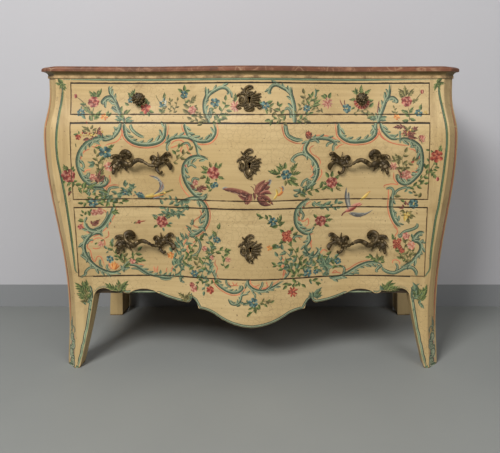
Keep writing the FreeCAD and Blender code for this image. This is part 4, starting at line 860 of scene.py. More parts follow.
# width, side of the thin outline, side of the leaflets, and the line each scroll follows
SCROLLS = [
    (5, 0, 1, [(-347, 706), (-355, 723), (-364, 739), (-371, 757), (-380, 772), (-396, 774),
     (-408, 761), (-402, 755)]),
    (3.6, 0, -1, [(-371, 761), (-379, 776), (-387, 787), (-389, 806)]),
    (3.4, 0, 0, [(-362, 736), (-371, 742), (-378, 747), (-380, 752)]),
    (5, 0, -1, [(-107, 705), (-118, 726), (-123, 746), (-122, 765), (-116, 781), (-120, 803)]),
    (4.4, 0, 1, [(-117, 768), (-111, 781), (-97, 791), (-79, 800), (-63, 799), (-54, 788), (-61, 782)]),
    (3.2, 0, 0, [(-106, 717), (-104, 733), (-107, 742), (-99, 744)]),
    (5, 0, 1, [(122, 704), (122, 721), (121, 747), (117, 767), (112, 784), (112, 803)]),
    (4.4, 0, -1, [(113, 782), (104, 792), (91, 800), (72, 808), (59, 802), (53, 787), (59, 784)]),
    (3.4, 0, 0, [(111, 718), (111, 736), (103, 745), (95, 740)]),
    (4.8, 0, 1, [(352, 703), (357, 721), (366, 744), (373, 763), (382, 781), (385, 811)]),
    (3.8, 0, -1, [(374, 763), (383, 772), (395, 774), (405, 764), (400, 759)]),
    (4.2, 0, -1, [(-358, 704), (-360, 690), (-369, 674), (-382, 663), (-398, 658), (-409, 661)]),
    (5, 0, 1, [(-403, 654), (-409, 663), (-427, 660), (-445, 652), (-461, 635), (-471, 615),
     (-474, 592), (-468, 566), (-458, 547), (-441, 533), (-421, 529), (-405, 533), (-396, 544),
     (-400, 555)]),
    (2.6, 0, 0, [(-378, 662), (-374, 674), (-370, 685), (-375, 695)]),
    (2.8, 0, 0, [(-445, 642), (-434, 652), (-420, 651), (-414, 644)]),
    (2.8, 0, 0, [(-465, 601), (-460, 594), (-458, 584), (-464, 578)]),
    (2.8, 0, 0, [(-454, 545), (-452, 557), (-445, 566), (-448, 550)]),
    (3.6, 0, 0, [(-446, 510), (-451, 517), (-443, 524), (-430, 522), (-412, 521), (-404, 509)]),
    (3.2, 1, 0, [(-397, 509), (-393, 521), (-383, 525), (-365, 524)]),
    (3.2, 0, 0, [(-422, 513), (-411, 510), (-404, 500), (-395, 509)]),
    (4.2, 0, 1, [(359, 704), (364, 688), (376, 672), (391, 662), (410, 662)]),
    (5, 0, -1, [(409, 654), (420, 660), (436, 658), (451, 651), (465, 638), (471, 617), (472, 596),
     (469, 573), (458, 557), (442, 541), (426, 536), (411, 544), (406, 560), (413, 557)]),
    (2.6, 0, 0, [(411, 683), (412, 667), (412, 649)]),
    (3, 0, 0, [(440, 637), (449, 641), (458, 637), (467, 626)]),
    (3, 0, 0, [(458, 597), (465, 591), (468, 578)]),
    (3, 0, 0, [(446, 565), (452, 566), (455, 557), (448, 547)]),
    (4.2, 0, 0, [(346, 704), (342, 690), (331, 674)]),
    (3.2, 0, 0, [(377, 520), (389, 524), (397, 516), (395, 500), (395, 485), (392, 469)]),
    (3.2, 0, 0, [(401, 502), (404, 513), (415, 521), (431, 526), (435, 521)]),
    (5, -1, 1, [(-348, 703), (-345, 686), (-340, 666), (-320, 650), (-288, 645), (-255, 651),
     (-239, 665), (-235, 686), (-233, 703)]),
    (4, 0, 0, [(-331, 700), (-326, 686), (-310, 672), (-293, 664)]),
    (4.2, 0, 1, [(-234, 649), (-213, 663), (-182, 667), (-156, 660), (-144, 640), (-142, 615)]),
    (3, 0, 0, [(-227, 627), (-229, 641), (-219, 654)]),
    (3, 0, 0, [(-185, 647), (-170, 650), (-161, 638)]),
    (4.6, -1, 1, [(-179, 703), (-174, 686), (-164, 669), (-137, 656), (-110, 658), (-96, 672),
     (-93, 687), (-96, 703)]),
    (5, 0, 1, [(-113, 606), (-137, 613), (-161, 609), (-177, 596), (-184, 575), (-179, 546),
     (-164, 520), (-144, 502), (-124, 499), (-117, 513)]),
    (3, 0, 0, [(-146, 582), (-161, 591), (-172, 584)]),
    (3, 0, 0, [(-138, 550), (-155, 553), (-160, 538)]),
    (3, 0, 0, [(-165, 558), (-180, 555), (-186, 564)]),
    (5, 1, -1, [(-151, 498), (-130, 483), (-120, 460), (-122, 433), (-136, 409), (-160, 393),
     (-175, 395)]),
    (3.2, 0, 0, [(-166, 388), (-147, 377), (-141, 359), (-152, 337), (-174, 328)]),
    (3, 0, 0, [(-131, 450), (-140, 438), (-138, 423)]),
    (4, 0, 1, [(-124, 499), (-157, 498), (-182, 490), (-207, 477)]),
    (2.4, 0, 0, [(-244, 467), (-226, 451), (-195, 454), (-176, 472)]),
    (5, 0, -1, [(164, 660), (151, 640), (154, 623), (172, 605), (183, 587), (184, 564), (172, 540),
     (151, 521), (125, 508)]),
    (3.8, 0, 0, [(157, 613), (143, 621), (125, 616), (115, 604), (125, 597)]),
    (3, 0, 0, [(192, 579), (179, 576), (176, 561)]),
    (3, 0, 0, [(176, 534), (160, 547), (157, 531)]),
    (3, 0, 0, [(140, 530), (146, 544), (160, 553)]),
    (4, 0, 0, [(164, 656), (180, 659), (189, 649)]),
    (5, -1, 0, [(97, 703), (99, 687), (105, 671), (125, 660), (145, 658)]),
    (4.2, 1, 1, [(164, 659), (186, 663), (210, 661), (227, 655), (240, 642)]),
    (3, 0, 0, [(228, 627), (229, 641), (239, 651)]),
    (3, 0, 0, [(210, 639), (214, 648), (227, 651)]),
    (4.8, -1, 1, [(243, 703), (245, 686), (248, 671), (269, 656), (295, 653), (325, 658), (342, 671),
     (346, 686), (348, 703)]),
    (5, 1, 1, [(163, 496), (143, 482), (128, 463), (125, 435), (134, 411), (155, 396), (175, 401)]),
    (4, 0, -1, [(161, 397), (164, 376), (153, 358), (155, 340), (176, 327), (191, 344), (182, 354)]),
    (3, 0, 0, [(140, 462), (147, 449), (141, 435)]),
    (3.4, 0, 0, [(117, 379), (125, 390), (146, 386)]),
    (2.4, 0, 0, [(175, 487), (187, 476), (211, 472)]),
    (4.8, 1, 1, [(-385, 470), (-390, 452), (-401, 432), (-414, 414), (-428, 404), (-443, 401),
     (-457, 407), (-464, 421), (-461, 425)]),
    (2.8, 0, 0, [(-402, 457), (-404, 441), (-414, 425), (-426, 412), (-442, 408)]),
    (4.8, 0, -1, [(-419, 384), (-424, 393), (-437, 395), (-452, 389), (-465, 375), (-472, 358),
     (-471, 340), (-463, 321), (-450, 302), (-434, 289), (-415, 279), (-395, 275), (-378, 281),
     (-365, 293)]),
    (3, 0, 0, [(-476, 388), (-471, 379), (-465, 372)]),
    (3, 0, 0, [(-484, 363), (-477, 354), (-471, 342)]),
    (3.6, 0, 0, [(-483, 331), (-474, 324), (-462, 312), (-451, 302)]),
    (2.8, 0, 0, [(-445, 375), (-457, 372), (-464, 362)]),
    (2.8, 0, 0, [(-462, 339), (-460, 326), (-455, 319)]),
    (2.8, 0, 0, [(-430, 316), (-431, 302), (-424, 292)]),
    (2.8, 0, 0, [(-410, 301), (-413, 290), (-406, 283)]),
    (3.6, 0, 1, [(-365, 276), (-368, 287), (-360, 298), (-344, 299), (-327, 294), (-309, 282),
     (-291, 270), (-266, 264), (-241, 261), (-217, 266)]),
    (2.6, 0, 0, [(-362, 281), (-358, 291), (-353, 295)]),
    (2.6, 0, 0, [(-345, 287), (-327, 286), (-309, 274), (-287, 265)]),
    (3.4, 0, 0, [(-473, 273), (-471, 282), (-460, 292), (-445, 292), (-432, 287)]),
    (2.8, 0, 0, [(-487, 265), (-478, 269), (-467, 278)]),
    (2.6, 0, 0, [(-264, 259), (-248, 255), (-229, 258)]),
    (5, -1, 1, [(394, 502), (392, 472), (397, 447), (407, 426), (420, 412)]),
    (4, 0, 0, [(465, 423), (465, 413), (452, 405), (434, 399), (424, 390), (419, 383), (415, 392)]),
    (2.8, 0, 0, [(412, 428), (415, 437), (414, 445)]),
    (2.8, 0, 0, [(408, 436), (404, 447), (408, 456)]),
    (4.8, 0, 1, [(486, 396), (473, 396), (461, 384), (458, 373), (469, 370), (478, 361), (479, 348),
     (472, 333), (456, 311), (438, 299), (424, 294)]),
    (3, 0, 0, [(482, 390), (471, 388), (465, 380)]),
    (3.4, 0, 0, [(485, 336), (474, 333), (464, 320)]),
    (2.8, 0, 0, [(486, 374), (480, 372), (479, 363)]),
    (4.6, 0, 0, [(470, 269), (467, 282), (455, 293), (436, 291), (420, 282), (406, 276), (389, 278),
     (376, 286), (370, 297)]),
    (3, 0, 0, [(412, 282), (416, 293), (410, 305)]),
    (3.4, 0, 0, [(372, 300), (364, 291), (356, 282), (360, 276)]),
    (4.6, 0, -1, [(223, 262), (248, 263), (267, 270), (286, 281), (309, 295), (332, 304), (353, 305),
     (370, 301)]),
    (2.6, 0, 0, [(308, 272), (297, 274), (288, 270)]),
    (3, 0, 0, [(264, 292), (265, 280), (261, 270)]),
    (4, -1, 1, [(-102, 271), (-93, 252), (-76, 239), (-55, 230), (-36, 232), (-24, 243), (-27, 251)]),
    (2.8, 0, 0, [(-70, 266), (-67, 252), (-55, 243)]),
    (3, 0, 1, [(-63, 210), (-55, 196), (-39, 196), (-29, 209), (-25, 222), (-6, 226)]),
    (2.8, 0, 0, [(-27, 202), (-17, 196), (-3, 199)]),
    (3, 0, 0, [(-204, 269), (-202, 256), (-191, 248)]),
    (4, 1, -1, [(-9, 268), (-7, 252), (10, 238), (34, 234), (62, 243), (90, 262)]),
    (2.8, 0, 0, [(24, 238), (31, 250), (33, 262)]),
    (2.8, 0, 0, [(41, 236), (55, 247), (61, 261)]),
    (2.6, 0, 0, [(5, 231), (12, 223), (10, 211)]),
    (3, 0, 0, [(221, 263), (237, 259), (259, 261), (263, 283)]),
    (2.8, 0, 0, [(220, 270), (218, 283), (224, 292), (243, 294), (262, 292), (265, 277), (257, 268)]),
    (2.8, 0, -1, [(-98, 267), (-106, 283), (-113, 304), (-111, 322)]),
    (2.8, 0, 1, [(93, 268), (105, 283), (103, 305), (94, 316)]),
]
OUTLINES = [
    [(-351, 684), (-358, 663), (-370, 652), (-387, 647), (-400, 642)],
    [(-351, 684), (-342, 663), (-332, 651), (-318, 643)],
    [(-409, 642), (-418, 644), (-427, 638), (-436, 641)],
    [(-440, 633), (-454, 627), (-462, 615), (-466, 601), (-457, 594)],
    [(-458, 568), (-450, 575), (-439, 575)],
    [(-391, 561), (-389, 542), (-399, 530), (-410, 521)],
    [(331, 660), (344, 674), (352, 688), (362, 669), (378, 655), (400, 647), (429, 643), (443, 646)],
    [(435, 634), (449, 631), (461, 620), (466, 603), (454, 601)],
    [(458, 582), (458, 568), (443, 573)],
    [(397, 568), (398, 549), (409, 534), (392, 535), (372, 530), (373, 523)],
    [(383, 521), (384, 504), (383, 487)],
    [(-185, 640), (-190, 628), (-179, 622)],
    [(-219, 636), (-204, 641), (-191, 648)],
    [(-192, 563), (-194, 543), (-182, 515), (-157, 491)],
    [(-192, 359), (-172, 400), (-184, 414)],
    [(176, 644), (164, 636), (169, 621), (187, 609), (193, 596), (189, 585)],
    [(166, 590), (174, 567), (163, 554)],
    [(154, 655), (143, 637), (144, 626)],
    [(195, 578), (197, 563), (184, 543)],
    [(342, 659), (352, 677), (365, 662), (388, 652)],
    [(236, 633), (245, 642), (257, 646)],
    [(167, 376), (170, 351)],
    [(125, 402), (131, 390), (140, 377)],
    [(84, 302), (99, 313), (96, 332)],
    [(-403, 400), (-403, 384), (-416, 377)],
    [(-414, 462), (-407, 457), (-406, 452)],
    [(-423, 391), (-437, 387), (-444, 383)],
    [(-450, 371), (-459, 365), (-463, 353), (-455, 342), (-452, 323), (-445, 310), (-438, 324),
     (-428, 324), (-421, 306), (-419, 297)],
    [(-416, 375), (-414, 361), (-419, 350)],
    [(-405, 310), (-405, 296), (-397, 287), (-386, 290), (-380, 305)],
    [(-451, 364), (-444, 376), (-429, 380), (-416, 375)],
    [(-449, 351), (-439, 348), (-425, 352)],
    [(-331, 302), (-318, 299), (-306, 296)],
    [(400, 414), (411, 404), (412, 394), (407, 387), (409, 379)],
    [(401, 303), (403, 313), (414, 314), (422, 306), (420, 299)],
    [(266, 283), (278, 287), (294, 298), (315, 308), (343, 313)],
    [(265, 297), (266, 284)],
    [(231, 275), (246, 276), (256, 273)],
    [(-63, 259), (-58, 249), (-44, 251), (-37, 260)],
    [(-1, 257), (10, 248), (27, 254)],
    [(89, 276), (92, 294), (89, 312)],
    [(-218, 645), (-210, 654), (-191, 658), (-174, 647), (-166, 628), (-154, 611), (-131, 619)],
    [(-140, 465), (-136, 449), (-155, 434), (-159, 419), (-143, 414), (-136, 425)],
    [(-159, 390), (-153, 378), (-163, 367)],
    [(139, 457), (134, 441), (146, 431), (159, 439), (161, 423), (151, 415)],
    [(175, 394), (160, 389), (170, 373), (163, 361)],
    [(216, 338), (204, 346), (195, 334), (200, 320), (210, 305)],
    [(433, 379), (446, 373), (457, 361), (453, 347)],
    [(229, 274), (237, 282), (247, 276)],
    [(-91, 269), (-98, 283), (-94, 298), (-101, 311), (-97, 324)],
    [(87, 269), (96, 287), (89, 299), (97, 313), (87, 328), (92, 342)],
    [(43, 261), (46, 246), (34, 239)],
    [(-51, 260), (-46, 251), (-33, 250)],
    [(-164, 338), (-178, 340), (-181, 353), (-171, 363), (-158, 356)],
]
# colour, length of a leaf, and the stem
SPRIGS = [
    ("olive", 9, [(-247, 729), (-241, 741), (-238, 756)]),
    ("olive", 9, [(-223, 732), (-219, 749), (-221, 764)]),
    ("olive", 9, [(-211, 732), (-204, 751), (-201, 765)]),
    ("leaf", 13, [(-158, 720), (-164, 739), (-176, 757), (-180, 775)]),
    ("olive", 13, [(-111, 705), (-131, 715), (-150, 730)]),
    ("olive", 13, [(-117, 705), (-141, 708), (-158, 715)]),
    ("olive", 10, [(-118, 717), (-135, 726), (-142, 739)]),
    ("leaf", 10, [(-103, 730), (-98, 742), (-95, 750)]),
    ("leaf", 13, [(-88, 707), (-78, 730), (-66, 750), (-64, 765)]),
    ("leaf", 11, [(-101, 706), (-91, 714), (-78, 715)]),
    ("olive", 13, [(55, 749), (67, 739), (78, 721), (91, 708)]),
    ("leaf", 13, [(95, 711), (78, 716), (57, 713)]),
    ("leaf", 12, [(95, 711), (85, 731), (80, 750)]),
    ("olive", 12, [(124, 718), (131, 737), (141, 757)]),
    ("leaf", 12, [(127, 711), (144, 718), (161, 727)]),
    ("olive", 11, [(131, 706), (141, 713), (154, 711)]),
    ("olive", 13, [(154, 741), (154, 761), (149, 784)]),
    ("leaf", 12, [(157, 742), (164, 761), (169, 777)]),
    ("olive", 10, [(201, 732), (191, 739), (177, 746)]),
    ("olive", 12, [(285, 732), (302, 737), (321, 740), (332, 732)]),
    ("leaf", 11, [(342, 711), (335, 721), (326, 727)]),
    ("olive", 8, [(400, 727), (399, 737), (397, 744)]),
    ("olive", 13, [(-420, 545), (-419, 568), (-419, 591), (-425, 619)]),
    ("olive", 12, [(-416, 556), (-410, 584), (-403, 602)]),
    ("leaf", 15, [(-492, 545), (-483, 534), (-470, 524), (-454, 526)]),
    ("leaf", 14, [(-464, 510), (-459, 524), (-443, 531)]),
    ("leaf", 13, [(-445, 484), (-454, 482), (-465, 482)]),
    ("leaf", 13, [(-423, 483), (-405, 485), (-387, 483)]),
    ("leaf", 12, [(-387, 479), (-371, 481), (-355, 484)]),
    ("leaf", 12, [(462, 544), (475, 555), (491, 566)]),
    ("leaf", 12, [(440, 526), (458, 531), (480, 537)]),
    ("olive", 14, [(426, 545), (424, 575), (418, 603), (425, 623)]),
    ("olive", 13, [(421, 568), (409, 589), (400, 602)]),
    ("olive", 12, [(425, 575), (434, 591), (452, 601)]),
    ("olive", 10, [(467, 496), (465, 503), (458, 509)]),
    ("leaf", 11, [(446, 477), (436, 481), (429, 484)]),
    ("olive", 14, [(-213, 595), (-192, 610), (-167, 631)]),
    ("leaf", 12, [(-201, 607), (-204, 625), (-191, 640)]),
    ("leaf", 10, [(-114, 516), (-108, 537), (-120, 554)]),
    ("teal", 16, [(-170, 490), (-188, 471), (-217, 451), (-245, 447)]),
    ("teal", 14, [(-189, 456), (-214, 446), (-235, 455), (-247, 476)]),
    ("teal", 13, [(-173, 460), (-194, 477), (-219, 488), (-243, 499)]),
    ("teal", 15, [(-323, 524), (-346, 520), (-373, 506), (-395, 503)]),
    ("leaf", 12, [(-395, 512), (-418, 500), (-444, 507)]),
    ("leaf", 12, [(-385, 488), (-413, 482), (-441, 492)]),
    ("teal", 12, [(-361, 494), (-390, 495), (-413, 491)]),
    ("teal", 11, [(-245, 442), (-223, 449), (-195, 447)]),
    ("teal", 18, [(-200, 282), (-204, 319), (-192, 353), (-172, 388), (-165, 418)]),
    ("leaf", 15, [(-175, 284), (-180, 320), (-167, 352), (-142, 383)]),
    ("teal", 14, [(-199, 301), (-217, 318), (-226, 336)]),
    ("leaf", 18, [(-144, 286), (-123, 330), (-102, 368), (-90, 410)]),
    ("leaf", 14, [(-118, 330), (-94, 347), (-70, 351)]),
    ("teal", 14, [(-112, 355), (-117, 385), (-126, 402)]),
    ("leaf", 12, [(-71, 297), (-77, 321), (-70, 345)]),
    ("olive", 12, [(-156, 291), (-149, 316), (-161, 340)]),
    ("leaf", 15, [(134, 509), (163, 517), (193, 525), (216, 533)]),
    ("teal", 13, [(117, 507), (140, 515), (169, 531)]),
    ("teal", 14, [(169, 484), (193, 479), (217, 476), (242, 479)]),
    ("teal", 12, [(190, 470), (211, 471), (238, 469)]),
    ("leaf", 13, [(85, 419), (70, 426), (50, 438), (31, 450)]),
    ("teal", 16, [(128, 290), (117, 318), (99, 344), (82, 357)]),
    ("leaf", 16, [(146, 289), (134, 323), (117, 355), (99, 371)]),
    ("teal", 15, [(152, 292), (164, 321), (158, 346)]),
    ("teal", 14, [(117, 294), (93, 308), (76, 333)]),
    ("leaf", 14, [(176, 287), (188, 314), (212, 331)]),
    ("teal", 13, [(200, 285), (212, 306), (236, 323)]),
    ("leaf", 12, [(99, 291), (81, 302), (70, 309)]),
    ("leaf", 16, [(-362, 291), (-364, 309), (-375, 321), (-391, 338), (-395, 352)]),
    ("leaf", 15, [(-360, 295), (-353, 314), (-339, 323), (-323, 339)]),
    ("leaf", 13, [(-353, 307), (-339, 313), (-317, 311)]),
    ("olive", 13, [(-364, 300), (-368, 319), (-365, 332)]),
    ("teal", 14, [(-219, 267), (-217, 283), (-221, 297)]),
    ("olive", 14, [(436, 305), (435, 328), (433, 349), (437, 369)]),
    ("olive", 13, [(440, 306), (446, 328), (451, 345)]),
    ("leaf", 13, [(432, 308), (425, 327), (419, 344)]),
    ("olive", 12, [(444, 309), (454, 326), (458, 341)]),
    ("leaf", 12, [(359, 308), (353, 317), (338, 319)]),
    ("leaf", 13, [(229, 290), (235, 301), (237, 313)]),
    ("leaf", 12, [(-147, 276), (-147, 258), (-158, 240)]),
    ("teal", 12, [(-124, 275), (-129, 253), (-133, 228)]),
    ("leaf", 11, [(-140, 259), (-118, 250), (-102, 258)]),
    ("teal", 13, [(-201, 310), (-201, 287), (-202, 265)]),
    ("teal", 13, [(-125, 314), (-132, 292), (-142, 273)]),
    ("teal", 12, [(-102, 280), (-111, 293), (-114, 307)]),
    ("teal", 11, [(-187, 302), (-179, 304), (-174, 299)]),
    ("leaf", 12, [(18, 195), (34, 195), (52, 201)]),
    ("leaf", 12, [(8, 193), (8, 179), (-1, 169)]),
    ("teal", 11, [(-4, 197), (-18, 200), (-29, 195)]),
    ("olive", 10, [(24, 198), (38, 205), (48, 204)]),
    ("leaf", 13, [(119, 238), (111, 253), (101, 246)]),
    ("leaf", 13, [(124, 241), (129, 257), (142, 247)]),
    ("leaf", 12, [(165, 263), (176, 255), (185, 251)]),
    ("teal", 15, [(204, 266), (197, 290), (193, 309)]),
    ("teal", 14, [(208, 266), (215, 289), (222, 307)]),
    ("leaf", 16, [(122, 274), (111, 293), (104, 311)]),
    ("leaf", 15, [(129, 270), (136, 291), (147, 308)]),
    ("teal", 13, [(143, 272), (158, 289), (165, 303)]),
    ("leaf", 13, [(111, 271), (122, 285), (129, 299)]),
    ("teal", 12, [(-200, 258), (-202, 287), (-198, 317), (-200, 347), (-204, 369)]),
    ("teal", 12, [(-124, 274), (-116, 300), (-119, 330), (-109, 359), (-100, 389)]),
    ("leaf", 10, [(-197, 315), (-176, 321), (-157, 327), (-138, 325)]),
]
